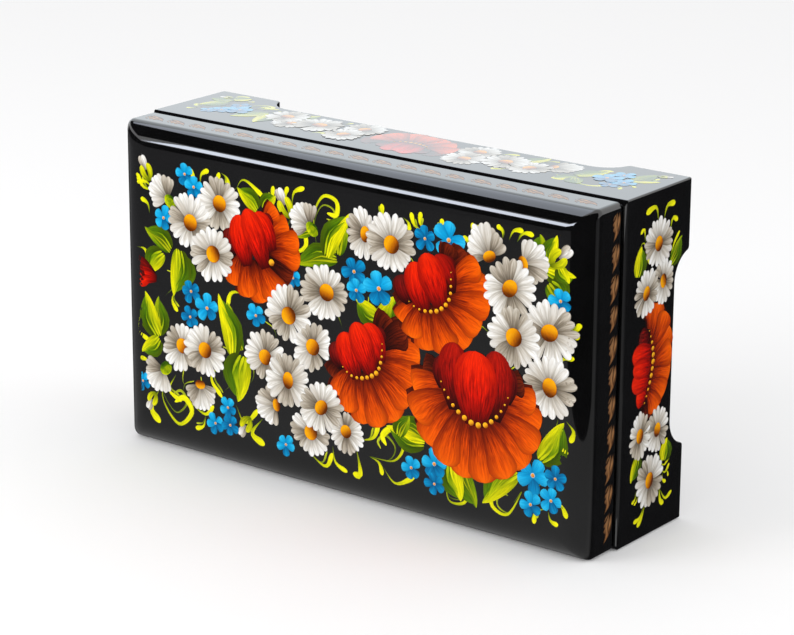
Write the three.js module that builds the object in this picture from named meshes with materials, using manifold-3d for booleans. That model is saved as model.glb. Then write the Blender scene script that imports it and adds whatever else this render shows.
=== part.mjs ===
import * as THREE from 'three';
import { mergeVertices } from 'three/addons/utils/BufferGeometryUtils.js';
import Module from 'manifold-3d';

// Painted lacquer box with a lift-off lid and bracket feet, standing on one long wall.
// Millimetres, +Z up. The lid's painted face looks along -Y and the feet point along +Y.
// Upper, lower, left and right name the sides as the box stands here.

// Outer size of the box without its lid
const bodyWidth = 254;
const bodyHeight = 150;
const bodyDepth = 49.5;
const wallThickness = 7;
const bodyCornerRadius = 2.5;
const rimEdgeRadius = 0.8;
const footEdgeRadius = 0.8;

// Bracket feet: each wall is cut away between its two feet, and the feet at the left and lower ends are longer
const footLength = 30.5;
const longFootLength = 34;
const archDepth = 10.5;
const archCurveRadius = 13;

// Bottom board, let into a groove in the four walls
const bottomThickness = 4;
const bottomRecess = 12;
const grooveDepth = 3;

// Triangular glue blocks behind the feet
const blockLeg = 14;
const blockRecess = 1.5;

// Rim strips that the lid goes over
const rimThickness = 3;
const rimProud = 5;
const rimGlued = 9;
const rimLeadIn = 0.8;

// Covered boards that line the bottom and the lid
const liningThickness = 1.6;
const liningMargin = 0.6;
const liningCornerRadius = 3;

// Lid: a shallow tray of four rails under a board with a wide rounded edge
const lidSideDepth = 14;
const crownDepth = 7.7;
const crownReach = 12;
const railThickness = 4.8;
const lidCornerRadius = 2;
const lidRimRadius = 1.4;

// How far the body shows past the lid on each side: the lid lies down and to the left in its play
const ledgeUpper = 0.7;
const ledgeRight = 1.6;
const ledgeLeft = 0;
const ledgeLower = 0;

// Clearances
const glueLine = 0.2;
const liningSeat = 0.3;
const lidJointGap = 0.3;

// Fineness of the curves
const cornerSteps = 6;
const edgeSteps = 5;
const crownSteps = 12;
const archSteps = 10;

// Places that follow from the sizes. In the body's own frame the lid joint is at y = 0.
const totalDepth = bodyDepth + lidJointGap + lidSideDepth + crownDepth;
const jointY = totalDepth / 2 - bodyDepth;
const bodyOutline = { x0: -bodyWidth / 2, x1: bodyWidth / 2, z0: 0, z1: bodyHeight };
const lidOutline = {
  x0: bodyOutline.x0 + ledgeLeft,
  x1: bodyOutline.x1 - ledgeRight,
  z0: bodyOutline.z0 + ledgeLower,
  z1: bodyOutline.z1 - ledgeUpper,
};
const bottomOuterY = bodyDepth - bottomRecess;
const bottomInnerY = bottomOuterY - bottomThickness;
const lidBackY = -lidJointGap;
const lidRailFrontY = lidBackY - lidSideDepth;
const lidFaceY = lidRailFrontY - crownDepth;

const blackLacquer = { color: 0x121212, roughness: 0.12, metalness: 0 };
const insideLacquer = { color: 0x17110f, roughness: 0.35, metalness: 0 };
const velvet = { color: 0x5a0f18, roughness: 0.95, metalness: 0 };
const bareWood = { color: 0x8a6238, roughness: 0.8, metalness: 0 };

const wasm = await Module();
wasm.setup();

// Closed geometry to a solid that can be cut and joined
function toSolid(geometry) {
  const bare = geometry.clone();
  bare.deleteAttribute('normal');
  bare.deleteAttribute('uv');
  const merged = mergeVertices(bare, 1e-4);
  return new wasm.Manifold(new wasm.Mesh({
    numProp: 3,
    vertProperties: new Float32Array(merged.attributes.position.array),
    triVerts: new Uint32Array(merged.index.array),
  }));
}

function toGeometry(solid) {
  const mesh = solid.getMesh();
  const geometry = new THREE.BufferGeometry();
  geometry.setAttribute('position', new THREE.BufferAttribute(new Float32Array(mesh.vertProperties), 3));
  geometry.setIndex(new THREE.BufferAttribute(new Uint32Array(mesh.triVerts), 1));
  geometry.computeVertexNormals();
  return geometry;
}

function named(name, geometry, finish) {
  const mesh = new THREE.Mesh(geometry, new THREE.MeshStandardMaterial(finish));
  mesh.name = name;
  return mesh;
}

function block(x0, x1, y0, y1, z0, z1) {
  const geometry = new THREE.BoxGeometry(x1 - x0, y1 - y0, z1 - z0);
  geometry.translate((x0 + x1) / 2, (y0 + y1) / 2, (z0 + z1) / 2);
  return geometry;
}

// Outline drawn in x and z, carried along y from yNear to yFar
function alongY(points, yNear, yFar) {
  const shape = new THREE.Shape(points.map(([x, z]) => new THREE.Vector2(x, z)));
  const geometry = new THREE.ExtrudeGeometry(shape, { depth: yFar - yNear, bevelEnabled: false });
  geometry.rotateX(Math.PI / 2);
  geometry.translate(0, yFar, 0);
  return geometry;
}

// Outline drawn in a and y, carried along the third axis: z for a wall that runs along x, x for one along z
function throughWall(points, runsAlongX, low, high) {
  const shape = new THREE.Shape(points.map(([a, y]) => new THREE.Vector2(a, y)));
  const geometry = new THREE.ExtrudeGeometry(shape, { depth: high - low, bevelEnabled: false });
  if (runsAlongX) {
    geometry.translate(0, 0, low);
    return geometry;
  }
  geometry.rotateY(-Math.PI / 2);
  geometry.translate(high, 0, 0);
  return geometry;
}

// Rectangle in x and z with round corners, drawn in by inset
function roundedRing(outline, inset, radius) {
  const corners = [
    [outline.x1 - inset - radius, outline.z0 + inset + radius, -Math.PI / 2],
    [outline.x1 - inset - radius, outline.z1 - inset - radius, 0],
    [outline.x0 + inset + radius, outline.z1 - inset - radius, Math.PI / 2],
    [outline.x0 + inset + radius, outline.z0 + inset + radius, Math.PI],
  ];
  const ring = [];
  for (const [cx, cz, start] of corners) {
    for (let i = 0; i <= cornerSteps; i += 1) {
      const angle = start + (Math.PI / 2) * (i / cornerSteps);
      ring.push([cx + radius * Math.cos(angle), cz + radius * Math.sin(angle)]);
    }
  }
  return ring;
}

// Closed skin over a row of rings, each { y, inset }, from the lowest y to the highest
function ringSolid(outline, radius, sections) {
  const positions = [];
  const triangles = [];
  let count = 0;
  for (const { y, inset } of sections) {
    const ring = roundedRing(outline, inset, radius);
    count = ring.length;
    for (const [x, z] of ring) positions.push(x, y, z);
  }
  for (let s = 0; s < sections.length - 1; s += 1) {
    for (let i = 0; i < count; i += 1) {
      const a = s * count + i;
      const b = s * count + ((i + 1) % count);
      triangles.push(a, b, b + count, a, b + count, a + count);
    }
  }
  const last = (sections.length - 1) * count;
  for (let i = 1; i < count - 1; i += 1) {
    triangles.push(0, i + 1, i);
    triangles.push(last, last + i, last + i + 1);
  }
  const geometry = new THREE.BufferGeometry();
  geometry.setAttribute('position', new THREE.Float32BufferAttribute(positions, 3));
  geometry.setIndex(triangles);
  const solid = toSolid(geometry);
  return solid.volume() < 0 ? toSolid(flipped(geometry)) : solid;
}

function flipped(geometry) {
  const index = Array.from(geometry.index.array);
  for (let i = 0; i < index.length; i += 3) [index[i + 1], index[i + 2]] = [index[i + 2], index[i + 1]];
  const turned = geometry.clone();
  turned.setIndex(index);
  return turned;
}

// Quarter ellipse of an edge: sections that start at the flat end and finish on the full outline
function edgeSections(flatY, fullY, reach, steps) {
  const sections = [];
  for (let i = 0; i <= steps; i += 1) {
    const angle = (Math.PI / 2) * (i / steps);
    sections.push({ y: flatY + (fullY - flatY) * (1 - Math.cos(angle)), inset: reach * (1 - Math.sin(angle)) });
  }
  return sections;
}

// One side of a mitred frame, reaching from the outline inwards by thickness and drawn back for the glue line
function mitredSide(side, outline, thickness, yNear, yFar) {
  const { x0, x1, z0, z1 } = outline;
  const out = thickness;
  const line = glueLine * Math.SQRT1_2;
  const sides = {
    upper: [[x0 - out + line, z1 + out], [x1 + out - line, z1 + out], [x1 - thickness - line, z1 - thickness],
      [x0 + thickness + line, z1 - thickness]],
    lower: [[x0 - out + line, z0 - out], [x1 + out - line, z0 - out], [x1 - thickness - line, z0 + thickness],
      [x0 + thickness + line, z0 + thickness]],
    left: [[x0 - out, z0 - out + line], [x0 - out, z1 + out - line], [x0 + thickness, z1 - thickness - line],
      [x0 + thickness, z0 + thickness + line]],
    right: [[x1 + out, z0 - out + line], [x1 + out, z1 + out - line], [x1 - thickness, z1 - thickness - line],
      [x1 - thickness, z0 + thickness + line]],
  };
  return toSolid(alongY(sides[side], yNear, yFar));
}

// The cut between two feet: it leaves each foot steeply and runs level between two equal curves
function archOutline(low, high) {
  const sweep = Math.acos(1 - archDepth / archCurveRadius);
  const run = archCurveRadius * Math.sin(sweep);
  const level = bodyDepth - archDepth;
  const first = [];
  const second = [];
  for (let i = 0; i <= archSteps; i += 1) {
    const angle = sweep * (1 - i / archSteps);
    const along = archCurveRadius * Math.sin(angle);
    const depth = level + archCurveRadius * (1 - Math.cos(angle));
    first.push([low + longFootLength + run - along, depth]);
    second.unshift([high - footLength - run + along, depth]);
  }
  const past = bodyDepth + archDepth;
  return [[low + longFootLength, past], ...first, ...second, [high - footLength, past]];
}

const sideNames = ['upper', 'lower', 'left', 'right'];

// Range that a side covers along its length and through its thickness
function sideRanges(side, outline) {
  const runsAlongX = side === 'upper' || side === 'lower';
  const length = runsAlongX ? [outline.x0, outline.x1] : [outline.z0, outline.z1];
  const faces = { upper: outline.z1, lower: outline.z0, left: outline.x0, right: outline.x1 };
  const inward = side === 'upper' || side === 'right' ? -1 : 1;
  return { runsAlongX, length, face: faces[side], inward };
}

function shrunk(outline, by) {
  return { x0: outline.x0 + by, x1: outline.x1 - by, z0: outline.z0 + by, z1: outline.z1 - by };
}

// Body walls: mitred, rounded on the outside, grooved for the bottom board and cut into feet
const bodyEnvelope = ringSolid(bodyOutline, bodyCornerRadius, [
  ...edgeSections(0, rimEdgeRadius, rimEdgeRadius, edgeSteps),
  ...edgeSections(bodyDepth, bodyDepth - footEdgeRadius, footEdgeRadius, edgeSteps).reverse(),
]);
const insideOutline = shrunk(bodyOutline, wallThickness);
const grooveOutline = shrunk(insideOutline, -grooveDepth);
const grooveCut = toSolid(block(
  grooveOutline.x0,
  grooveOutline.x1,
  bottomInnerY - glueLine,
  bottomOuterY + glueLine,
  grooveOutline.z0,
  grooveOutline.z1,
));

function bodyWall(side) {
  const { runsAlongX, length, face, inward } = sideRanges(side, bodyOutline);
  const through = [face - inward * wallThickness, face + 2 * inward * wallThickness].sort((a, b) => a - b);
  const arch = toSolid(throughWall(archOutline(length[0], length[1]), runsAlongX, through[0], through[1]));
  const wall = mitredSide(side, bodyOutline, wallThickness, 0, bodyDepth);
  return toGeometry(wall.intersect(bodyEnvelope).subtract(grooveCut).subtract(arch));
}

// Rim strips stand inside the walls and reach past the joint, with their lead-in on the outer corner
function rimStrip(side) {
  const outline = shrunk(insideOutline, glueLine);
  const strip = mitredSide(side, outline, rimThickness, -rimProud, rimGlued);
  const envelope = ringSolid(outline, rimLeadIn, [
    { y: -rimProud, inset: rimLeadIn },
    { y: -rimProud + rimLeadIn, inset: 0 },
    { y: rimGlued, inset: 0 },
  ]);
  return toGeometry(strip.intersect(envelope));
}

function bottomBoard() {
  const outline = shrunk(grooveOutline, glueLine);
  return block(outline.x0, outline.x1, bottomInnerY, bottomOuterY, outline.z0, outline.z1);
}

// Glue block in one corner behind a foot
function cornerBlock(xSide, zSide) {
  const outline = shrunk(insideOutline, glueLine);
  const x = xSide < 0 ? outline.x0 : outline.x1;
  const z = zSide < 0 ? outline.z0 : outline.z1;
  const points = [[x, z], [x - xSide * blockLeg, z], [x, z - zSide * blockLeg]];
  return alongY(points, bottomOuterY + glueLine, bodyDepth - blockRecess);
}

function liningBoard(outline, margin, yNear) {
  const solid = ringSolid(shrunk(outline, margin), liningCornerRadius, [
    { y: yNear, inset: 0 },
    { y: yNear + liningThickness, inset: 0 },
  ]);
  return toGeometry(solid);
}

// Lid: rails and board share one outer form, from the joint to the painted face
const lidEnvelope = ringSolid(lidOutline, lidCornerRadius, [
  ...edgeSections(lidFaceY, lidRailFrontY, crownReach, crownSteps),
  ...edgeSections(lidBackY, lidBackY - lidRimRadius, lidRimRadius, edgeSteps).reverse(),
]);
const lidInside = shrunk(lidOutline, railThickness);

function lidRail(side) {
  const rail = mitredSide(side, lidOutline, railThickness, lidRailFrontY + glueLine, lidBackY);
  return toGeometry(rail.intersect(lidEnvelope));
}

function lidBoard() {
  const past = crownReach;
  const slab = toSolid(block(
    lidOutline.x0 - past,
    lidOutline.x1 + past,
    lidFaceY - past,
    lidRailFrontY,
    lidOutline.z0 - past,
    lidOutline.z1 + past,
  ));
  return toGeometry(slab.intersect(lidEnvelope));
}

const body = new THREE.Group();
for (const side of sideNames) {
  body.add(named(`wall_${side}`, bodyWall(side), blackLacquer));
  body.add(named(`rim_strip_${side}`, rimStrip(side), insideLacquer));
}
body.add(named('bottom_board', bottomBoard(), insideLacquer));
body.add(named('floor_lining', liningBoard(insideOutline, liningMargin, bottomInnerY - liningSeat - liningThickness), velvet));
for (const [xSide, across] of [[-1, 'left'], [1, 'right']]) {
  for (const [zSide, height] of [[-1, 'lower'], [1, 'upper']]) {
    body.add(named(`corner_block_${height}_${across}`, cornerBlock(xSide, zSide), bareWood));
  }
}

const lid = new THREE.Group();
lid.add(named('lid_board', lidBoard(), blackLacquer));
for (const side of sideNames) {
  lid.add(named(`lid_rail_${side}`, lidRail(side), blackLacquer));
}
lid.add(named('lid_lining', liningBoard(lidInside, liningMargin, lidRailFrontY + liningSeat), velvet));

const box = new THREE.Group();
body.position.y = jointY;
lid.position.y = jointY;
box.add(body, lid);

export default box;
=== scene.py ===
"""Painted lacquer box, standing on its long side with the lid towards the viewer.

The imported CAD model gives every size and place. This script adds the looks: seamless lacquered
shells, the painted flowers, the rope ornament, velvet linings, the studio and the camera.
Lengths are metres in Blender and millimetres inside the painting functions.
"""
import math
import random

import bmesh
import bpy
import numpy as np
from mathutils import Matrix, Vector

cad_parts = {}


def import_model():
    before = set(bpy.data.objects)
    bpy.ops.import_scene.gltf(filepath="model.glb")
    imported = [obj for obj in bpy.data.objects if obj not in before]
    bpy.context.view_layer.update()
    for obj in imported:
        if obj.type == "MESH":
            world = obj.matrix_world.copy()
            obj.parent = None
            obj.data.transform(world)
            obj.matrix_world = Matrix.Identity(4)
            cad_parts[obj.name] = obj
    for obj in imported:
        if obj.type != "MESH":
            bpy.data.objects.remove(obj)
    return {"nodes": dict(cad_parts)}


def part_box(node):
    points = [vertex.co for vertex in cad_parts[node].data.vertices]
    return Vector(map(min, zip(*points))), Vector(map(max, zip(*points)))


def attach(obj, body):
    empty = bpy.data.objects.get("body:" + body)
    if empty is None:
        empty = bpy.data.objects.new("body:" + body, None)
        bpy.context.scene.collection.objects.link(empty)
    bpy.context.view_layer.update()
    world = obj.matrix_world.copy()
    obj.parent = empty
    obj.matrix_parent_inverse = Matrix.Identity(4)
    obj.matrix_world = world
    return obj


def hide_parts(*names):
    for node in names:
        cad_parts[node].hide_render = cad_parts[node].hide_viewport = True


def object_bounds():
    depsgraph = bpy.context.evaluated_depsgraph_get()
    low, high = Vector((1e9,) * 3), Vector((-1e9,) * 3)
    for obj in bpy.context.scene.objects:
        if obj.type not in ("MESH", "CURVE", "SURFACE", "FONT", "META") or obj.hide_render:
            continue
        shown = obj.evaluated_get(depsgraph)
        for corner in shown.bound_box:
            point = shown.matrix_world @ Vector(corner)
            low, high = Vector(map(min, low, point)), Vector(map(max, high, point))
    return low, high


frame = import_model()
cad_low, cad_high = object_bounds()

MM = 0.001
SIDES = ("upper", "lower", "left", "right")

# Sizes of the feet, the arches and the lid's roundover, in millimetres, as in the part's own source
FOOT_LENGTH = 30.5
LONG_FOOT_LENGTH = 34.0
ARCH_DEPTH = 10.5
ARCH_CURVE_RADIUS = 13.0
CROWN_REACH = 12.0

# Edges of the lacquer skins, in millimetres, judged against the photograph
CORNER_RADIUS = 0.8
INNER_CORNER_RADIUS = 0.5
RIM_BEVEL = 2.2
RIM_BEVEL_DEPTH = 1.5
RIM_BEVEL_SIDE_SHARE = 0.3
FOOT_EDGE_RADIUS = 0.8
FOOT_TIP_ROUNDING = 1.6
LID_CORNER_RADIUS = 2.6
LID_FACE_CORNER_RADIUS = 6.0
LID_INNER_CORNER_RADIUS = 1.2
LID_RIM_RADIUS = 0.7
LINING_CORNER_RADIUS = 3.0

# How far in from the inner surface, and how far below the edge, the points of a small round edge lie
SOFT_EDGE = ((0.6, 0), (0.4, 0), (0.1, 0.1), (0, 0.4), (0, 0.7))


def box_of(names):
    """Lowest and highest corner, in millimetres, of several CAD nodes together."""
    boxes = [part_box(name) for name in names]
    low = [min(b[0][k] for b in boxes) / MM for k in range(3)]
    high = [max(b[1][k] for b in boxes) / MM for k in range(3)]
    return low, high


body_low, body_high = box_of(["wall_" + side for side in SIDES])
lid_low, lid_high = box_of(["lid_board"] + ["lid_rail_" + side for side in SIDES])
board_low, board_high = box_of(["lid_board"])
wall_thickness = body_high[0] - box_of(["wall_right"])[0][0]
rail_thickness = lid_high[0] - box_of(["lid_rail_right"])[0][0]
lid_face_y = lid_low[1]
crown_depth = board_high[1] - board_low[1]


def linear(code):
    """Linear colour from an sRGB hex value."""
    parts = [int(code[k:k + 2], 16) / 255 for k in (1, 3, 5)]
    return np.array([p / 12.92 if p <= 0.04045 else ((p + 0.055) / 1.055) ** 2.4 for p in parts])


def rgba(code):
    return (*linear(code), 1.0)


# Materials

def add(tree, kind, inputs=None, **settings):
    """Adds a node, sets its properties, and fills or links its inputs."""
    node = tree.nodes.new(kind)
    for name, value in settings.items():
        setattr(node, name, value)
    for key, value in (inputs or {}).items():
        if isinstance(value, bpy.types.NodeSocket):
            tree.links.new(value, node.inputs[key])
        else:
            node.inputs[key].default_value = value
    return node


def mixed_colours(tree, factor, first, second, **settings):
    """Colour between two others, each a socket or a plain colour."""
    inputs = {"Factor": factor, 6: first, 7: second}
    node = add(tree, "ShaderNodeMix", inputs, data_type="RGBA", **settings)
    return node.outputs[2]


def object_place(tree):
    return add(tree, "ShaderNodeTexCoord").outputs["Object"]


def new_material(name):
    material = bpy.data.materials.new(name)
    material.use_nodes = True
    tree = material.node_tree
    tree.nodes.clear()
    return material, tree


def stops(tree, factor, entries):
    """Colour ramp over a factor, from (place, hex colour) entries."""
    node = add(tree, "ShaderNodeValToRGB", {"Fac": factor})
    ramp = node.color_ramp
    while len(ramp.elements) < len(entries):
        ramp.elements.new(0.5)
    for element, (place, code) in zip(ramp.elements, entries):
        element.position = place
        element.color = rgba(code)
    return node.outputs["Color"]


# Height of the ripples that hand polishing leaves in the lacquer, and how far apart they lie
RIPPLE_HEIGHT = 0.0035 * MM
RIPPLE_SPACING = 7.0 * MM
ORANGE_PEEL_HEIGHT = 0.0005 * MM
ORANGE_PEEL_SPACING = 1.4 * MM


def ripples(tree, coordinates):
    """Bump of polished lacquer: broad ripples with a finer orange peel on them."""
    broad = add(tree, "ShaderNodeTexNoise", {
        "Vector": coordinates, "Scale": 1 / RIPPLE_SPACING, "Detail": 1.0, "Roughness": 0.4})
    fine = add(tree, "ShaderNodeTexNoise", {
        "Vector": coordinates, "Scale": 1 / ORANGE_PEEL_SPACING, "Detail": 1.0, "Roughness": 0.5})
    first = add(tree, "ShaderNodeBump", {
        "Strength": 1.0, "Distance": RIPPLE_HEIGHT, "Height": broad.outputs["Fac"]})
    second = add(tree, "ShaderNodeBump", {
        "Strength": 1.0, "Distance": ORANGE_PEEL_HEIGHT, "Height": fine.outputs["Fac"],
        "Normal": first.outputs["Normal"]})
    return second.outputs["Normal"]


def black_lacquer():
    """Black lacquer on wood, brushed in many coats and polished: deep black under a mirror gloss."""
    material, tree = new_material("black_lacquer")
    place = object_place(tree)
    cloud = add(tree, "ShaderNodeTexNoise", {
        "Vector": place, "Scale": 1 / (18 * MM), "Detail": 4.0, "Roughness": 0.6})
    black = stops(tree, cloud.outputs["Fac"], [(0.3, "#060606"), (0.7, "#0B0B0C")])
    rub = add(tree, "ShaderNodeMapRange", {
        "Value": cloud.outputs["Fac"], "From Min": 0.3, "From Max": 0.7, "To Min": 0.03, "To Max": 0.07})
    shader = add(tree, "ShaderNodeBsdfPrincipled", {
        "Base Color": black, "Roughness": rub.outputs["Result"], "IOR": 1.5,
        "Coat Weight": 1.0, "Coat Roughness": 0.02, "Coat IOR": 1.5,
        "Normal": ripples(tree, place), "Coat Normal": ripples(tree, place)})
    add(tree, "ShaderNodeOutputMaterial", {"Surface": shader.outputs["BSDF"]})
    return material


# Bristle marks are about 0.25 mm apart on the real box; drawn three times as wide so that they show
BRISTLE_SPACING = 0.75
BRISTLE_LENGTH = 7.0


def brushed_paint(name, varnish):
    """Tempera laid on in loaded brush strokes and varnished: two colours streaked along each stroke.
    Varnish is the shader inputs that set how much of the room the paint mirrors."""
    material, tree = new_material(name)
    place = object_place(tree)
    body = add(tree, "ShaderNodeAttribute", attribute_name="body_colour").outputs["Color"]
    streak = add(tree, "ShaderNodeAttribute", attribute_name="streak_colour").outputs["Color"]
    load = add(tree, "ShaderNodeAttribute", attribute_name="load").outputs["Fac"]
    grain = add(tree, "ShaderNodeAttribute", attribute_name="grain").outputs["Vector"]
    along = add(tree, "ShaderNodeMapping", {
        "Vector": grain, "Scale": (1 / BRISTLE_SPACING, 1 / BRISTLE_LENGTH, 1.0)})
    bristles = add(tree, "ShaderNodeTexNoise", {
        "Vector": along.outputs["Vector"], "Scale": 1.0, "Detail": 2.0, "Roughness": 0.6})
    # The streaks are strongest where both colours are on the brush, and none where only one is
    rest = add(tree, "ShaderNodeMath", {0: 1.0, 1: load}, operation="SUBTRACT")
    both = add(tree, "ShaderNodeMath", {0: load, 1: rest.outputs["Value"]}, operation="MULTIPLY")
    swing = add(tree, "ShaderNodeMapRange", {
        "Value": bristles.outputs["Fac"], "From Min": 0.25, "From Max": 0.75,
        "To Min": -2.6, "To Max": 2.6})
    wander = add(tree, "ShaderNodeMath", {
        0: both.outputs["Value"], 1: swing.outputs["Result"], 2: load},
        operation="MULTIPLY_ADD", use_clamp=True)
    mixed = mixed_colours(tree, wander.outputs["Value"], body, streak)
    shader = add(tree, "ShaderNodeBsdfPrincipled", {
        "Base Color": mixed, "Coat Roughness": 0.03, "Coat IOR": 1.5,
        "Coat Normal": ripples(tree, place), **varnish})
    add(tree, "ShaderNodeOutputMaterial", {"Surface": shader.outputs["BSDF"]})
    return material


def satin_lacquer():
    """Satin black-brown lacquer inside the box: one brushed coat with the wood's pores still open."""
    material, tree = new_material("satin_lacquer")
    place = object_place(tree)
    along = add(tree, "ShaderNodeMapping", {"Vector": place, "Scale": (1.0, 6.0, 6.0)})
    pores = add(tree, "ShaderNodeTexNoise", {
        "Vector": along.outputs["Vector"], "Scale": 1 / (9 * MM), "Detail": 6.0, "Roughness": 0.65})
    brown = stops(tree, pores.outputs["Fac"], [(0.3, "#100C0A"), (0.6, "#1D1512"), (0.8, "#2A1D16")])
    rough = add(tree, "ShaderNodeMapRange", {
        "Value": pores.outputs["Fac"], "From Min": 0.3, "From Max": 0.7, "To Min": 0.28, "To Max": 0.5})
    relief = add(tree, "ShaderNodeBump", {
        "Strength": 0.6, "Distance": 0.04 * MM, "Height": pores.outputs["Fac"]})
    shader = add(tree, "ShaderNodeBsdfPrincipled", {
        "Base Color": brown, "Roughness": rough.outputs["Result"], "IOR": 1.48,
        "Normal": relief.outputs["Normal"]})
    add(tree, "ShaderNodeOutputMaterial", {"Surface": shader.outputs["BSDF"]})
    return material


def red_velvet():
    """Cotton velvet glued over card: dark red pile that lightens where it is brushed the other way."""
    material, tree = new_material("cotton_velvet")
    place = object_place(tree)
    pile = add(tree, "ShaderNodeTexNoise", {
        "Vector": place, "Scale": 1 / (0.5 * MM), "Detail": 2.0, "Roughness": 0.7})
    brushed = add(tree, "ShaderNodeTexNoise", {
        "Vector": place, "Scale": 1 / (26 * MM), "Detail": 3.0, "Roughness": 0.5, "Distortion": 0.6})
    dark = stops(tree, pile.outputs["Fac"], [(0.3, "#3B060C"), (0.7, "#5E0C16")])
    light = stops(tree, pile.outputs["Fac"], [(0.3, "#5A0B15"), (0.7, "#861723")])
    mixed = mixed_colours(tree, brushed.outputs["Fac"], dark, light)
    relief = add(tree, "ShaderNodeBump", {
        "Strength": 0.8, "Distance": 0.15 * MM, "Height": pile.outputs["Fac"]})
    shader = add(tree, "ShaderNodeBsdfPrincipled", {
        "Base Color": mixed, "Roughness": 0.95, "Sheen Weight": 0.7, "Sheen Roughness": 0.35,
        "Normal": relief.outputs["Normal"]})
    add(tree, "ShaderNodeOutputMaterial", {"Surface": shader.outputs["BSDF"]})
    return material


def sanded_lime():
    """Sanded lime wood, unpainted: pale brown with faint fine grain along the block."""
    material, tree = new_material("sanded_lime_wood")
    place = object_place(tree)
    along = add(tree, "ShaderNodeMapping", {"Vector": place, "Scale": (1.0, 0.12, 1.0)})
    fibre = add(tree, "ShaderNodeTexNoise", {
        "Vector": along.outputs["Vector"], "Scale": 1 / (0.8 * MM), "Detail": 5.0, "Roughness": 0.6})
    ring = add(tree, "ShaderNodeTexNoise", {
        "Vector": along.outputs["Vector"], "Scale": 1 / (4 * MM), "Detail": 2.0, "Roughness": 0.5})
    mixed = add(tree, "ShaderNodeMath", {
        0: fibre.outputs["Fac"], 1: 0.45, 2: ring.outputs["Fac"]}, operation="MULTIPLY_ADD")
    wood = stops(tree, mixed.outputs["Value"], [(0.45, "#6E4A2A"), (0.7, "#9A6D41"), (0.95, "#B98C5A")])
    relief = add(tree, "ShaderNodeBump", {
        "Strength": 0.5, "Distance": 0.05 * MM, "Height": fibre.outputs["Fac"]})
    shader = add(tree, "ShaderNodeBsdfPrincipled", {
        "Base Color": wood, "Roughness": 0.72, "Normal": relief.outputs["Normal"]})
    add(tree, "ShaderNodeOutputMaterial", {"Surface": shader.outputs["BSDF"]})
    return material


def new_object(name, data):
    """Adds an object to the scene that shows a mesh, a lamp or a camera."""
    item = bpy.data.objects.new(name, data)
    bpy.context.scene.collection.objects.link(item)
    return item


# Lacquered shells

def rounded_outline(low, high, inset, radius, stations, corner_steps=10, support=0.4):
    """Closed outline in x and z, anticlockwise as the lid is seen, as (x, z) with the outward way.

    Stations are places in x and z that every outline shares along the straight sides. A support
    point lies close to each corner, so that the flat sides shade flat."""
    x0, x1 = low[0] + inset, high[0] - inset
    z0, z1 = low[2] + inset, high[2] - inset
    x_stops = [x0 + radius + support] + list(stations[0]) + [x1 - radius - support]
    z_stops = [z0 + radius + support] + list(stations[1]) + [z1 - radius - support]
    corners = [(x1 - radius, z0 + radius, -90), (x1 - radius, z1 - radius, 0),
               (x0 + radius, z1 - radius, 90), (x0 + radius, z0 + radius, 180)]
    straights = [
        [(x1, z, 1, 0) for z in z_stops],
        [(x, z1, 0, 1) for x in reversed(x_stops)],
        [(x0, z, -1, 0) for z in reversed(z_stops)],
        [(x, z0, 0, -1) for x in x_stops],
    ]
    outline = []
    for (cx, cz, start), straight in zip(corners, straights):
        for step in range(corner_steps + 1):
            angle = math.radians(start + 90 * step / corner_steps)
            way = (math.cos(angle), math.sin(angle))
            outline.append((cx + radius * way[0], cz + radius * way[1], *way))
        outline.extend(straight)
    return outline


def mesh_piece(name, points, faces, material, smooth=True):
    """Mesh object from points in millimetres, with its faces turned outwards."""
    mesh = bpy.data.meshes.new(name)
    mesh.from_pydata([(x * MM, y * MM, z * MM) for x, y, z in points], [], faces)
    work = bmesh.new()
    work.from_mesh(mesh)
    bmesh.ops.recalc_face_normals(work, faces=work.faces)
    work.to_mesh(mesh)
    work.free()
    mesh.polygons.foreach_set("use_smooth", [smooth] * len(mesh.polygons))
    mesh.materials.append(material)
    return new_object(name, mesh)


def skin(rings, closed):
    """Points and faces over a row of rings. A closed row joins its last ring to its first,
    and an open one gets a flat face at each end."""
    count = len(rings[0])
    points = [point for ring in rings for point in ring]
    faces = []
    last = len(rings) if closed else len(rings) - 1
    for r in range(last):
        here = r * count
        there = ((r + 1) % len(rings)) * count
        for i in range(count):
            j = (i + 1) % count
            faces.append((here + i, here + j, there + j, there + i))
    if not closed:
        faces.append(tuple(range(count)))
        faces.append(tuple(range((len(rings) - 1) * count, len(rings) * count)))
    return points, faces


def arch_curve():
    """Start and end of the round on a foot's tip, and the end of the whole curve, from the foot's end."""
    sweep = math.acos(1 - ARCH_DEPTH / ARCH_CURVE_RADIUS)
    run = ARCH_CURVE_RADIUS * math.sin(sweep)
    reach = ARCH_CURVE_RADIUS + FOOT_TIP_ROUNDING
    rise = ARCH_CURVE_RADIUS - ARCH_DEPTH + FOOT_TIP_ROUNDING
    across = math.sqrt(reach * reach - rise * rise)
    return run - across, run - across * ARCH_CURVE_RADIUS / reach, run


def arch_level(along, low, high, back):
    """How far the wall reaches towards the feet at one place along it."""
    start, end, run = arch_curve()
    from_foot = min(along - low - LONG_FOOT_LENGTH, high - along - FOOT_LENGTH)
    if from_foot <= start:
        return back
    if from_foot < end:
        return back - FOOT_TIP_ROUNDING + math.sqrt(FOOT_TIP_ROUNDING ** 2 - (from_foot - start) ** 2)
    if from_foot < run:
        rise = math.sqrt(ARCH_CURVE_RADIUS ** 2 - (run - from_foot) ** 2)
        return back - ARCH_DEPTH + ARCH_CURVE_RADIUS - rise
    return back - ARCH_DEPTH


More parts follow.
